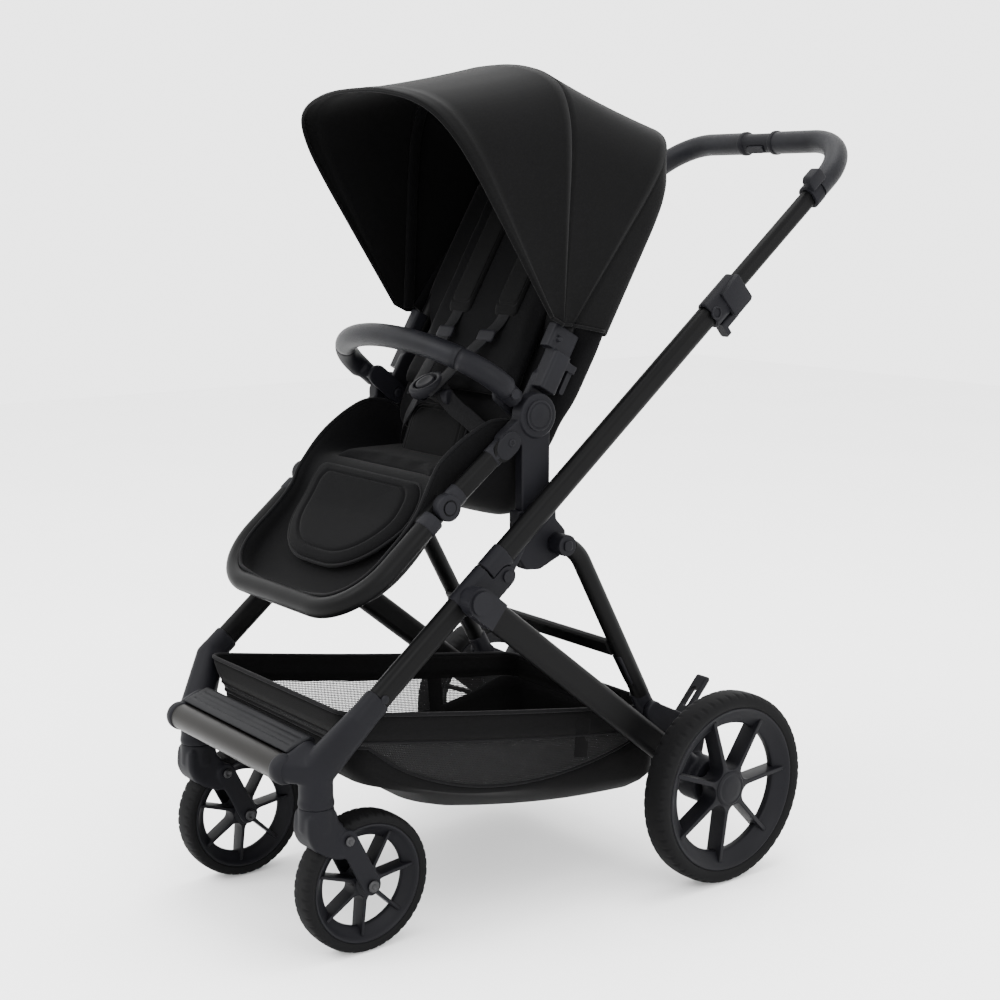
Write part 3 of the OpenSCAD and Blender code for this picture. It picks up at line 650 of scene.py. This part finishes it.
# Half of an arch: (half width, share of the crown's radius), from the hem up to the crown
ARCH = [(1.0, 0.10), (1.0, 0.30), (1.0, 0.50), (0.997, 0.66), (0.965, 0.79), (0.865, 0.893),
        (0.69, 0.951), (0.45, 0.983), (0.22, 0.997), (0.0, 1.0)]
CANOPY_HALF = 188.0


def arch_points(share=1.0):
    """Points (across, share of the crown's radius) along the whole arch."""
    half = curve([(w * CANOPY_HALF * share, r, 0) for w, r in ARCH], 5)
    return [(p.x, p.y) for p in half] + [(-p.x, p.y) for p in reversed(half[:-1])]


def arch(radius, angle, hem=30.0, share=1.0, pivot=CANOPY_PIVOT):
    """Fabric line over a bow at that angle about the canopy's pivot."""
    place = turned(pivot, angle)
    low = ARCH[0][1]
    return [place(x, hem + (r - low) / (1 - low) * (radius - hem)) for x, r in arch_points(share)]


def between(a, b, share):
    return [p.lerp(q, share) for p, q in zip(a, b)]


FRONT_BOW = dict(radius=389, angle=123, hem=36)
MID_BOW = dict(radius=369, angle=87, hem=20)
REAR_BOW = dict(radius=373, angle=52, hem=24)
FRONT_TURN, MID_TURN, REAR_TURN = (turned(CANOPY_PIVOT, bow["angle"])(0, 250)
                                   for bow in (FRONT_BOW, MID_BOW, REAR_BOW))


def stretched(a, b, shares, sag, lift=None):
    """Rows from arch a to arch b, pulled in towards the pivot between them; lift(u) raises a band."""
    pivot = at(0, *CANOPY_PIVOT)
    rows = []
    for u in shares:
        row = []
        for p in between(a, b, u):
            inner = pivot - p
            depth = min(1.0, max(0.0, (inner.length / MM - 120) / 200))
            pull = sag * 4 * u * (1 - u) * depth - (lift(u) if lift else 0)
            row.append(p + inner.normalized() * (pull * MM))
        rows.append(row)
    return rows


CANOPY_CLOTH = 1.6


def canopy_sheet(name, rows):
    sheet = thickened(grid(name, rows), CANOPY_CLOTH)
    return sheet


HEM_FROM = 0.885
EVEN = [k / 14 for k in range(15)]
HEMMED = [k / 14 * HEM_FROM for k in range(14)] + [HEM_FROM - 0.004, HEM_FROM + 0.004, 0.915, 0.95, 0.985,
                                                   1.0]


def hem_lift(u):
    """The front hem is doubled over, so it stands proud, with a rolled edge."""
    return 0 if u < HEM_FROM else 1.5 if u < 0.97 else 2.2 if u < 0.99 else 0.6


front_line, mid_line, rear_line = arch(**FRONT_BOW), arch(**MID_BOW), arch(**REAR_BOW)
front_panel = canopy_sheet("canopy_front_panel", stretched(mid_line, front_line, HEMMED, 3.0, hem_lift))
dress(front_panel, FABRIC, None, ["canopy_front"])
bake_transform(front_panel)
rear_panel = canopy_sheet("canopy_rear_panel", stretched(rear_line, mid_line, EVEN, 3.0))
dress(rear_panel, FABRIC, None, ["canopy_rear"])
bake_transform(rear_panel)

for name, line, body, half_x, half_y in (("front_binding", front_line, "canopy_front", 2.2, 2.6),
                                         ("mid_seam", mid_line, "canopy_mid", 1.0, 2.4),
                                         ("rear_seam", rear_line, "backrest", 1.0, 2.4)):
    dress(sweep(f"canopy_{name}", line, disc(half_x, half_y, 12)), FABRIC, body,
          [f"canopy_{name.split('_')[0]}_bow"])


def bow_sleeve(name, bow, body):
    """Fabric tunnel along the inside of the canopy, with the bow in it."""
    inside = dict(bow, radius=bow["radius"] - 5.5, hem=bow["hem"] + 3, share=0.97)
    dress(sweep(name, arch(**inside), disc(3.4, 9, 16)), LINING, body)


bow_sleeve("canopy_mid_sleeve", MID_BOW, "canopy_mid")
bow_sleeve("canopy_rear_sleeve", REAR_BOW, "backrest")


def lower_hem(name, a, b, steps=8):
    """Binding along both lower edges of a canopy panel."""
    parts = [sweep(f"{name}_{end}", [a[end].lerp(b[end], k / steps) for k in range(steps + 1)],
                   disc(2.4, n=10)) for end in (0, -1)]
    return dress(merged(name, parts), FABRIC, None)


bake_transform(lower_hem("canopy_front_lower_hem", mid_line, front_line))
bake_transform(lower_hem("canopy_rear_lower_hem", rear_line, mid_line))


def back_arch(half, low, high, depth):
    """U over the back of the seat: sides at +-half from low up to high, at a depth behind the backrest."""
    first = ARCH[0][1]
    return [back(x / CANOPY_HALF * half, low + (r - first) / (1 - first) * (high - low), -depth)
            for x, r in arch_points()]


# The fabric goes on from the rear bow down over the back of the seat
back_edge = back_arch(186, 150, 446, 46)
back_rows = [rear_line, between(rear_line, back_arch(187, 146, 455, 44), 0.55), back_edge,
             back_arch(182, 149, 436, 58), back_arch(162, 150, 406, 66), back_arch(120, 150, 350, 68),
             back_arch(60, 150, 270, 69), back_arch(0, 150, 200, 69)]
back_panel = thickened(subdivided(welded(grid("canopy_back_panel", back_rows))), CANOPY_CLOTH)
dress(back_panel, FABRIC, "backrest")
dress(lower_hem("canopy_back_lower_hem", rear_line, back_edge), FABRIC, "backrest")


# ---- Backrest ----

def bag_section(along, half, front, rear, round_by=16.0, wide=None):
    """Closed loop round the backrest at one height: lining in front, wider fabric behind."""
    wide = wide or half
    side = [(0, front), (half * 0.55, front), (half - round_by, front), (half - 4, front - 3),
            (half, front - round_by * 0.6), (half, -24 if wide > half else -rear * 0.45),
            (wide, -34 if wide > half else -rear + round_by), (wide - 1, -rear + round_by * 0.6),
            (wide - round_by * 0.7, -rear + 1.5), (wide * 0.55, -rear - 1), (0, -rear - 1.5)]
    loop = side + [(-x, up) for x, up in reversed(side[1:-1])]
    return [back(x, along, up) for x, up in loop]


bag = solid("backrest_cover", [
    bag_section(-46, 120, -20, 56, 12), bag_section(-40, 140, -12, 72, 14), bag_section(-20, 150, -4, 80),
    bag_section(12, 152, -2, 76), bag_section(34, 152, -2, 70, wide=168), bag_section(54, 152, -2, 66, wide=178),
    bag_section(92, 152, -2, 64, wide=180), bag_section(124, 152, 3, 64, wide=181),
    bag_section(140, 179, 13, 63), bag_section(200, 180, 13, 60), bag_section(300, 180, 13, 55),
    bag_section(375, 178, 13, 51), bag_section(412, 168, 12, 46), bag_section(432, 148, 9, 40),
    bag_section(440, 110, 4, 30, 10)])
subdivided(bag, 2)
dress(bag, LINING, "backrest")


def soft_box(name, place, half_x, y0, y1, low, high, round_by):
    """Rounded block on a tilted line, ready to be inflated."""
    made = primitive(name, bmesh.ops.create_cube, lambda co: place(
        co.x * 2 * half_x, (y0 + y1) / 2 + co.y * (y1 - y0), (low + high) / 2 + co.z * (high - low)), size=1)
    return bake(modify(made, "BEVEL", width=round_by * MM, segments=3, limit_method="NONE"))


def inflated(obj, voxel, cap, pressure=4.0, frames=20):
    """Blows a soft piece up as cloth, with every point's travel capped, and rounds it off."""
    bake(modify(obj, "REMESH", mode="VOXEL", voxel_size=voxel * MM, use_smooth_shade=True))
    rest = [v.co.copy() for v in obj.data.vertices]
    cloth = obj.modifiers.new("cloth", "CLOTH")
    cloth.settings.use_pressure = True
    cloth.settings.uniform_pressure_force = pressure
    cloth.settings.effector_weights.gravity = 0
    cloth.point_cache.frame_start = 1
    cloth.point_cache.frame_end = frames
    for f in range(1, frames + 1):
        bpy.context.scene.frame_set(f)
    moved = obj.evaluated_get(bpy.context.evaluated_depsgraph_get()).data
    swollen = [v.co.copy() for v in moved.vertices]
    obj.modifiers.clear()
    for v, old, new in zip(obj.data.vertices, rest, swollen):
        step = new - old
        v.co = old + step * min(1.0, cap * MM / max(step.length, 1e-9))
    bpy.context.scene.frame_set(1)
    return subdivided(bake(modify(obj, "SMOOTH", factor=0.5, iterations=3)))


back_cushion = inflated(soft_box("backrest_cushion", back, 136, 6, 392, 2, 16, 5), 6, 9)
dress(back_cushion, SHADE_DARKENED_PAD, "backrest", ["backrest_pad"])


# ---- Seat and leg rest tub ----

def tub_row(outer, edge, floor_half, floor_drop, edge_x, floor_x):
    """Closed loop across the tub: outer skin below, rolled edge, inner wall and floor."""
    (oy, oz), (ey, ez), (fy, fz) = outer, edge, floor_drop
    half = [(0, oy, oz), (floor_half * 0.7, oy, oz), (floor_half, oy + (ey - oy) * 0.06, oz + (ez - oz) * 0.08),
            (edge_x - 4, oy + (ey - oy) * 0.35, oz + (ez - oz) * 0.38),
            (edge_x, oy + (ey - oy) * 0.85, oz + (ez - oz) * 0.85), (edge_x - 1, ey, ez - 1),
            (edge_x - 4.5, ey, ez + 1.2), (edge_x - 8, ey, ez - 2),
            (edge_x - 11, fy + (ey - fy) * 0.6, fz + (ez - fz) * 0.6),
            (floor_x + 8, fy + (ey - fy) * 0.15, fz + (ez - fz) * 0.16), (floor_x - 6, fy, fz + 1.5),
            (floor_x * 0.6, fy, fz), (0, fy, fz)]
    return [at(*p) for p in half + [(-x, y, z) for x, y, z in reversed(half[1:-1])]]


def on_leg(along, up):
    """Side-view place (y, z) at a height over the leg rest's line."""
    c, s = math.cos(math.radians(220)), math.sin(math.radians(220))
    return (KNEE[0] + along * c + up * s, KNEE[1] + along * s - up * c)


def rim_half(along, bend=85, half=174, tube=10):
    """Half width of the fabric, which wraps a little over the leg rest's rim tube."""
    start = 113
    if along <= start:
        return half - tube
    return half - bend + math.sqrt(max(0.0, (bend - tube) ** 2 - (along - start) ** 2))


TUB = [
    ((-232, 529), (-252, 640), 126, (-258, 604), 148, 128),
    ((-272, 540), (-272, 678), 130, (-276, 604), 158, 136),
    ((-316, 554), (-317, 686), 132, (-318, 604), 160, 138),
    ((-355, 565), (-350, 673), 134, (-355, 606), 160, 138),
    ((-384, 563), (-385, 652), 134, (-388, 610), 159, 136),
    ((-408, 552), (-412, 630), 136, (-412, 611), 158, 136),
]
for along, edge_up, floor_up, drop in ((8, 24, 8, -38), (30, 12, -6, -48), (60, 9, -12, -53), (90, 8, -16, -54),
                                       (115, 8, -18, -52), (140, 8, -19, -48), (160, 8, -18, -43),
                                       (172, 8, -15, -36), (181, 8, -10, -25), (186.5, 8, 0, -8)):
    half = rim_half(along)
    TUB.append((on_leg(along, drop), on_leg(along, edge_up), half - 30, on_leg(along, floor_up), half, half - 20))
tub = subdivided(solid("seat_tub", [tub_row(*row) for row in TUB]), 2)
dress(tub, LINING, None, ["legrest_pad"])
KNEE_BLEND = dict(start=at(0, -392, 610), end=leg(0, 22))
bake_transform(tub)


def on_tub(p):
    """Nearest place on the tub's surface, a little way out of it."""
    _, place, normal, _ = tub.closest_point_on_mesh(p)
    return place + normal * (1.2 * MM)


edge_line = [on_tub(at(row[4] - 4.5, row[1][0], row[1][1] + 1.6)) for row in TUB]
mirrored = [Vector((-p.x, p.y, p.z)) for p in reversed(edge_line)]
last = rim_half(186.5) - 4.5
front_edge = [on_tub(at(x, *on_leg(187.5, 9))) for x in (last * 0.6, 0, -last * 0.6)]
piping = sweep("seat_piping", curve(edge_line + front_edge + mirrored, 6), disc(2.5, n=10))
dress(piping, PIPING, None)
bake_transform(piping)

def across_both(half):
    """Curve through the left half's points and their mirror images."""
    return curve(half + [Vector((-p.x, p.y, p.z)) for p in reversed(half[:-1])], 4)


# Fabric between the seat's rear edge and the foot of the backrest
low_line = across_both([at(*p) for p in ((146, -258, 640), (140, -262, 618), (124, -264, 607), (70, -264, 605),
                                         (0, -264, 605))])
high_line = across_both([back(*p) for p in ((151, 10, -10), (149, -22, -14), (140, -36, -22), (80, -42, -26),
                                            (0, -42, -26))])
gusset_rows = []
for u in (k / 8 for k in range(9)):
    out = Vector((0, 10 * MM * math.sin(math.pi * u), 0))
    gusset_rows.append([p + out for p in between(low_line, high_line, u)])
gusset = thickened(grid("seat_back_gusset", gusset_rows), 2.0)
dress(gusset, LINING, None)
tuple(back(0, -36, -20))
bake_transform(gusset)

seat_cushion = inflated(soft_box("seat_cushion", turned((-404, 612), 0), 131, 2, 138, -8, 1, 5), 6, 9)
dress(seat_cushion, SHADE_DARKENED_PAD, "seat", ["seat_pad"])


def pillow(name, place, outline, low, high, rings=14, groove=None, edge=0.45):
    """Padded flat piece from its outline of (x, along) points, crowned on its top side."""
    n = len(outline)
    cx = sum(p[0] for p in outline) / n
    cy = sum(p[1] for p in outline) / n
    shares = sorted({k / rings for k in range(1, rings + 1)} | {0.97, 0.99}
                    | ({groove[0] + d for d in (-0.04, -0.015, 0, 0.015, 0.04)} if groove else set()))
    rows = []
    for under in (False, True):
        for rho in (shares if not under else reversed(shares[:-1])):
            crown = (1 - rho ** 8) ** edge
            up = high * crown if not under else low * crown
            if groove and not under:
                up -= groove[1] * math.exp(-((rho - groove[0]) / 0.018) ** 2)
            rows.append([place(cx + (x - cx) * rho, cy + (y - cy) * rho, up) for x, y in outline])
    return solid(name, rows)


def rounded_outline(half, y0, y1, top_r, low_r, n=8):
    """Outline with its own corner radii at its near end y0 and far end y1."""
    pts = []
    for cx, cy, r, a0 in ((half - low_r, y1 - low_r, low_r, 0), (-half + low_r, y1 - low_r, low_r, 90),
                          (-half + top_r, y0 + top_r, top_r, 180), (half - top_r, y0 + top_r, top_r, 270)):
        pts += arc((cx, cy), r, a0, a0 + 90, n)
    return pts


def on_calf(x, along, up):
    """Place on the calf pad, which follows the hollow of the leg rest's floor."""
    return leg(x, along, -(up - 4 - 5 * (1 - (x / 136) ** 2) + 20 * max(0.0, 1 - (along + 14) / 60) ** 1.4))


CALF_OUTLINE = rounded_outline(134, -14, 131, 24, 110, 12)
calf = subdivided(pillow("calf_pad_cover", on_calf, CALF_OUTLINE, -7, 13, 14, (0.80, 3.0)))
dress(calf, SHADE_DARKENED_PAD, "legrest", ["calf_pad"])
calf_piping = sweep("calf_pad_piping", [on_calf(x * 1.005, y, 1.5) for x, y in CALF_OUTLINE],
                    disc(2.6, n=10), closed=True)
dress(calf_piping, PIPING, "legrest")


# ---- Harness ----

crotch = turned((-322, 606), 70)
CROTCH_OUTLINE = rounded_outline(68, 4, 86, 10, 22, 6)
crotch_pad = subdivided(pillow("crotch_pad_cover", lambda x, y, up: crotch(x, y, up - 2), CROTCH_OUTLINE, -6, 8,
                               10, (0.86, 1.6)))
dress(crotch_pad, FABRIC, "seat", ["crotch_strap"])
dress(sweep("crotch_pad_piping", [crotch(x * 1.01, y, -1) for x, y in CROTCH_OUTLINE], disc(2.2, n=10),
            closed=True), PIPING, "seat")

BUCKLE = (-316, 712)
face = turned(BUCKLE, 120)


def strap(name, points, width=25.0, side=(1, 0, 0)):
    return sweep(name, curve(points), ribbon(width, 1.8), side=side)


dress(strap("crotch_webbing", [crotch(0, -4, -2), crotch(0, 20, -9), crotch(0, 60, -9), crotch(0, 84, -4),
                               at(0, -300, 695), face(0, -2, 8)], 30), WEBBING, "seat")


def round_part(name, place, profile):
    """Solid of revolution standing on a tilted plane; profile goes (radius, height)."""
    return solid(name, [[place(x, h, up) for x, up in disc(r, n=48)] for r, h in profile])


shell = round_part("buckle_shell", face, [(22, -1), (26, 0.5), (27, 3), (27, 10), (26, 13), (24, 14), (19, 14.2),
                                          (17.6, 13), (16.4, 9), (14, 8.6), (2, 8.6)])
dress(shell, PLASTIC, "seat", ["buckle"])
press = round_part("buckle_press_face", face, [(14, 9), (15.2, 10.5), (15.2, 14), (14.2, 15.2), (11, 15.0),
                                               (7, 14.4), (1, 14.2)])
dress(press, PALE_PLASTIC, "buckle_button", ["buckle_button"])

for side, s in SIDES.items():
    waist = strap(f"waist_strap_{side}", [face(s * 20, 4, -4), at(s * 44, -308, 694), at(s * 72, -300, 676),
                                          at(s * 104, -290, 652), at(s * 128, -278, 622)], side=(0, 0.3, 1))
    dress(waist, WEBBING, "seat")
    tongue = plate(f"buckle_tongue_{side}", link((-309, 700), (-309, 708), 7), s * 24, s * 40, 1.5)
    dress(tongue, PLASTIC, "seat")

    pad_place = lambda x, y, up, s=s: back(s * 55 + x, y, 24 + up)
    pad = subdivided(pillow(f"shoulder_pad_{side}", pad_place, rounded_outline(26, 128, 328, 10, 12, 5), -5, 8,
                            10, (0.84, 1.4)))
    dress(pad, FABRIC, "backrest", ["shoulder_straps"] if s > 0 else ())
    shoulder = strap(f"shoulder_strap_{side}", [back(s * x, along, up) for x, along, up in (
        (55, 350, 10), (55, 338, 22), (55, 320, 27), (55, 220, 26), (55, 130, 26), (50, 96, 34),
        (40, 66, 42))] + [face(s * 18, 4, 16)])
    dress(shoulder, WEBBING, None)
    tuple(back(0, 110, 30))
    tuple(back(0, 60, 40))
    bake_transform(shoulder)
    slide_at = lambda x, y, up, s=s: back(s * 49 + x, 92 + y, 36 + up)
    slide = pillow(f"strap_adjuster_{side}", slide_at, rounded_outline(18, -9, 9, 4, 4, 3), -3, 3, 6)
    dress(slide, PLASTIC, "backrest")


# ---- Basket ----

def basket_loop(y0, z0, y1, z1, half, corner, sag=0.0, drop=None):
    """Closed plan loop, tilted from its front height to its rear height; drop(share) lowers it further."""
    corners = ((half - corner, y1 - corner, 0), (-half + corner, y1 - corner, 90),
               (-half + corner, y0 + corner, 180), (half - corner, y0 + corner, 270))
    bends = [arc((cx, cy), corner, a0, a0 + 90, 8) for cx, cy, a0 in corners]
    plan = []
    for i, steps in enumerate((12, 24, 12, 24)):
        (x, y), (next_x, next_y) = bends[i][-1], bends[(i + 1) % 4][0]
        plan += bends[i] + [(x + (next_x - x) * k / steps, y + (next_y - y) * k / steps)
                            for k in range(1, steps)]
    pts = []
    for x, y in plan:
        u = min(1.0, max(0.0, (y - y0) / (y1 - y0)))
        fall = drop(u) if drop else 0
        pts.append(at(x, y, z0 + (z1 - z0) * u - sag * math.sin(math.pi * u) - fall))
    return pts


def window_drop(u):
    """Depth of the net window under the band, along the basket: a lens that is open from u 0.1 to 0.9."""
    v = min(1.0, max(0.0, (u - 0.07) / 0.86))
    return 2.0 + 62 * math.sin(math.pi * v ** 0.85) ** 0.75


# Loops of the basket, from its top edge down: (front y, front z, rear y, rear z, half width, corner, sag)
BAND = [(-580, 331, -30, 243, 184, 26, 3), (-579, 322, -29, 235, 185.5, 26, 3),
        (-574, 306, -28, 222, 185, 26, 4), (-568, 292, -28, 207, 184, 26, 5)]
NET_TOP = BAND[-1]
NET_FOOT = (-567, 284, -28, 207, 177.5, 28, 4)
SHELL = [(-545, 226, -28, 138, 173, 30, 18), (-480, 200, -29, 124, 160, 36, 16),
         (-448, 172, -33, 112, 142, 40, 13), (-412, 154, -46, 102, 118, 44, 9), (-366, 142, -84, 100, 84, 44, 6),
         (-318, 136, -140, 102, 40, 30, 3)]
top_loop, foot_loop = basket_loop(*NET_TOP), basket_loop(*NET_FOOT, drop=window_drop)
net_loops = [between(top_loop, foot_loop, k / 6) for k in range(7)]


def hang(piece):
    """The basket hangs from the front frame and from the rear legs; here each piece is baked in place and rides on
    no body.
    """
    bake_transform(piece)
    return piece


band = thickened(grid("basket_band", [basket_loop(*row) for row in BAND], close_cols=True), 2.4)
hang(dress(band, FABRIC, None))
net = thickened(grid("basket_net", net_loops, close_cols=True), 0.9)
hang(dress(net, NET, None))
lower = [foot_loop] + [basket_loop(*row) for row in SHELL]
middle_loop = basket_loop(-563, 252, -28, 190, 178.5, 28, 6, drop=lambda u: window_drop(u) * 0.72)
shell_rows = [lower[0], middle_loop] + lower[1:] + [[Vector((0, p.y, p.z)) for p in lower[-1]]]
basket = thickened(welded(grid("basket_shell", shell_rows, close_cols=True)), 2.4)
hang(dress(basket, FABRIC, None, ["basket"]))
for name, line, r in (("basket_top_binding", basket_loop(*BAND[0]), 2.8),
                      ("basket_band_seam", top_loop, 1.7), ("basket_window_binding", foot_loop, 2.2)):
    hang(dress(sweep(name, line, disc(r, n=10), closed=True), PIPING, None))
for side, s in SIDES.items():
    tape = [at(s * x, -184, z) for x, z in ((184.5, 256), (184.5, 240), (182.5, 222), (178, 190), (172, 160))]
    hang(dress(sweep(f"basket_tape_{side}", curve(tape, 4), ribbon(26, 1.6), side=(0, 1, 0)), FABRIC, None))


# ---- Bumper bar ----

BUMPER_BASE = 66
BUMPER_TIP = 162
BUMPER_SECTION = disc(16, n=28)
GRIP_FROM = 10
bumper_line = [bumper(177 * math.cos(a), BUMPER_BASE + (BUMPER_TIP - BUMPER_BASE) * math.sin(a))
               for a in (math.pi * k / 48 for k in range(49))]
grip = sweep("bumper_grip_cover", bumper_line[GRIP_FROM:-GRIP_FROM], BUMPER_SECTION, side=(0, 0.5, 1))
dress(grip, LEATHER, "bumper", ["bumper_grip"])
for side, s in SIDES.items():
    line = bumper_line[:GRIP_FROM + 1] if s > 0 else bumper_line[:-GRIP_FROM - 2:-1]
    line = [bumper(s * 172, 38), bumper(s * 172, 56), bumper(s * 174, 62)] + line
    end_piece = sweep(f"bumper_end_{side}", line, BUMPER_SECTION, side=(0, 0.5, 1),
                      scale=[0.84, 0.84, 0.93] + [1.0] * (GRIP_FROM - 1) + [0.99, 0.95])
    dress(end_piece, PLASTIC, "bumper")


# ---- Small fittings ----

FRONT_BAR = (-645, 262)
ARM_TOP = (-314, 657)
STAY_FOOT = (-75, 250)
ARM_X, KNEE_X = 176, 180.5
ARM_WAY = math.degrees(math.atan2(KNEE[1] - ARM_TOP[1], KNEE[0] - ARM_TOP[0]))
arm = turned(ARM_TOP, ARM_WAY)


def sleeve(name, place, x, start, end, half_w, half_h, body):
    """Moulded end of a tube, with its rounded lips."""
    rows = [[place(x + a, along, b) for a, b in disc(half_w * share, half_h * share, 32)]
            for share, along in ((0.94, start), (1.0, start + 1.5), (1.0, end - 1.5), (0.94, end))]
    dress(solid(name, rows), PLASTIC, body)


def side_view(place):
    """Side-view outline point from (along, up) on a tilted line."""
    def spot(along, up):
        p = place(0, along, up) / MM
        return (p.y - AXLE_Y, p.z)

    return spot


on_main = side_view(main_tube)
SLIDER_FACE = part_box("slider_housings")[1].x / MM - 3

for side, s in SIDES.items():
    lever = plate(f"slider_lever_{side}", [on_main(*p) for p in (
        (797, 17), (839, 20), (841, -24), (836, -27), (802, -27), (799, -23))],
        s * (SLIDER_FACE - 4), s * (SLIDER_FACE + 5), 2)
    dress(lever, PLASTIC, "push_frame")
    mark = turned_ring(f"slider_mark_{side}", [(9.6, -2), (9.6, 1.2), (8.8, 1.8), (7.6, 1.8), (6.8, 1.2),
                                               (6.8, -2)], 0, on_main(776, 2), 40)
    mark.location.x = s * SLIDER_FACE * MM
    dress(mark, PLASTIC, "push_frame")
    latch = plate(f"collar_latch_{side}", [on_main(*p) for p in (
        (1031, 12), (1030, 28), (1036, 34), (1057, 34), (1062, 29), (1063, 12))], s * 203, s * 221, 3)
    dress(latch, PLASTIC, "handle")

HUB_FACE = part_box("seat_hubs")[1].x / MM

for side, s in SIDES.items():
    hub_cap = button(f"hub_cap_{side}", [(21, -2), (21, 0.5), (20.2, 1.2), (18.4, 1.2), (17.8, 0.3), (16.6, 0.3),
                                         (16.0, 1.2), (15.2, 1.8), (1, 2.0)], s * HUB_FACE, s, HUB)
    dress(hub_cap, PLASTIC, "seat")
    end_cup = button(f"bar_end_{side}", [(17.8, -6), (19.4, -4.5), (19.8, -1), (19.6, 5), (18.4, 9), (15, 12)],
                     s * 142, s, FRONT_BAR)
    dress(end_cup, PLASTIC, "front_frame")

    sleeve(f"arm_top_sleeve_{side}", arm, s * ARM_X, 10, 34, 11.2, 15.2, "seat")
    cheek = plate(f"arm_top_cheek_{side}", link(ARM_TOP, (ARM_TOP[0] - 9, ARM_TOP[1] - 7), 15.4), s * 182.6,
                  s * 188.2, 1.6)
    dress(cheek, PLASTIC, "seat")
    bolt(f"arm_top_rivet_{side}", 5.5, s * 187.6, s, ARM_TOP, "seat", PALE_PLASTIC)

    sleeve(f"knee_sleeve_{side}", arm, s * ARM_X, 98, 116, 11.4, 15.4, "seat")
    ring = turned_ring(f"knee_ring_{side}", [(17.9, -8), (18.2, 4), (17.9, 6.4), (16.6, 7.6), (11.2, 7.6),
                                             (10.2, 6.6), (9.6, 2), (9.6, -8)], s * KNEE_X, KNEE, 48)
    if s < 0:
        for v in ring.data.vertices:
            v.co.x = -2 * KNEE_X * MM - v.co.x
        outward(ring)
    dress(ring, PLASTIC, "seat")
    sleeve(f"legrest_sleeve_{side}", leg, s * 174, 22, 42, 15.2, 15.2, "legrest")

    clip = plate(f"stay_clip_{side}", [(-112, 294), (-104, 298), (-128, 342), (-137, 338)], s * 190, s * 207, 2)
    dress(clip, PLASTIC, "stays")
    bolt(f"stay_foot_bolt_{side}", 8, s * 213, s, STAY_FOOT, "rear_frame")
    snap = button(f"frame_snap_{side}", [(6, 0), (6, 1.2), (4.8, 2.2), (1, 2.6)], s * 212.4, s, (-536, 350), 24)
    dress(snap, PLASTIC, "front_frame")
    for end, way in (("in", -1), ("out", 1)):
        for spot, centre, r in (("axle", FRONT_AXLE, 8), ("shoulder", FORK_SHOULDER, 6.5)):
            bolt(f"fork_{spot}_bolt_{side}_{end}", r, s * CASTER_X + way * FORK_OUTER + way * 2.2, way, centre,
                 f"caster_{side}")


# ---- Camera, light and floor ----

def studio():
    floor = new_object("floor", [(-6, -6, 0), (6, -6, 0), (6, 6, 0), (-6, 6, 0)], [(0, 1, 2, 3)])
    paper = (0.90, 0.90, 0.90)
    pale, tree, shader, place = finish_of("floor_paper", paper, 0.8)
    tree.links.new(shaded(tree, noise(tree, place, 1.5), paper, 0.01), shader.inputs["Base Color"])
    floor.data.materials.append(pale)

    def lamp(name, place, aim, size, watts):
        light = bpy.data.lights.new(name, "AREA")
        light.size = size
        light.energy = watts
        made = bpy.data.objects.new(name, light)
        made.location = place
        made.rotation_euler = (Vector(aim) - Vector(place)).to_track_quat("-Z", "Y").to_euler()
        bpy.context.scene.collection.objects.link(made)

    lamp("key", (-0.6, -3.2, 3.4), (0, 0, 0.6), 2.0, 170)
    lamp("side", (3.4, -0.6, 2.0), (0, 0, 0.6), 1.6, 80)
    lamp("top", (0, 0.6, 4.2), (0, 0, 0.5), 2.4, 160)
    world = bpy.data.worlds.new("studio")
    world.use_nodes = True
    sky = world.node_tree.nodes["Background"].inputs
    sky["Color"].default_value = (1, 1, 1, 1)
    sky["Strength"].default_value = 3.4
    bpy.context.scene.world = world


CAMERA_AT = (1958.25, -1675.53, 976.37)
CAMERA_AZIMUTH = 52.846
CAMERA_ELEVATION = 10.055
CAMERA_LENS = 61.216


def camera():
    data = bpy.data.cameras.new("camera")
    data.lens = CAMERA_LENS
    data.sensor_width = 36
    made = bpy.data.objects.new("camera", data)
    az, el = math.radians(CAMERA_AZIMUTH), math.radians(CAMERA_ELEVATION)
    behind = Vector((math.sin(az) * math.cos(el), -math.cos(az) * math.cos(el), math.sin(el)))
    made.location = at(*CAMERA_AT)
    made.rotation_euler = (-behind).to_track_quat("-Z", "Y").to_euler()
    bpy.context.scene.collection.objects.link(made)
    bpy.context.scene.camera = made


studio()
camera()
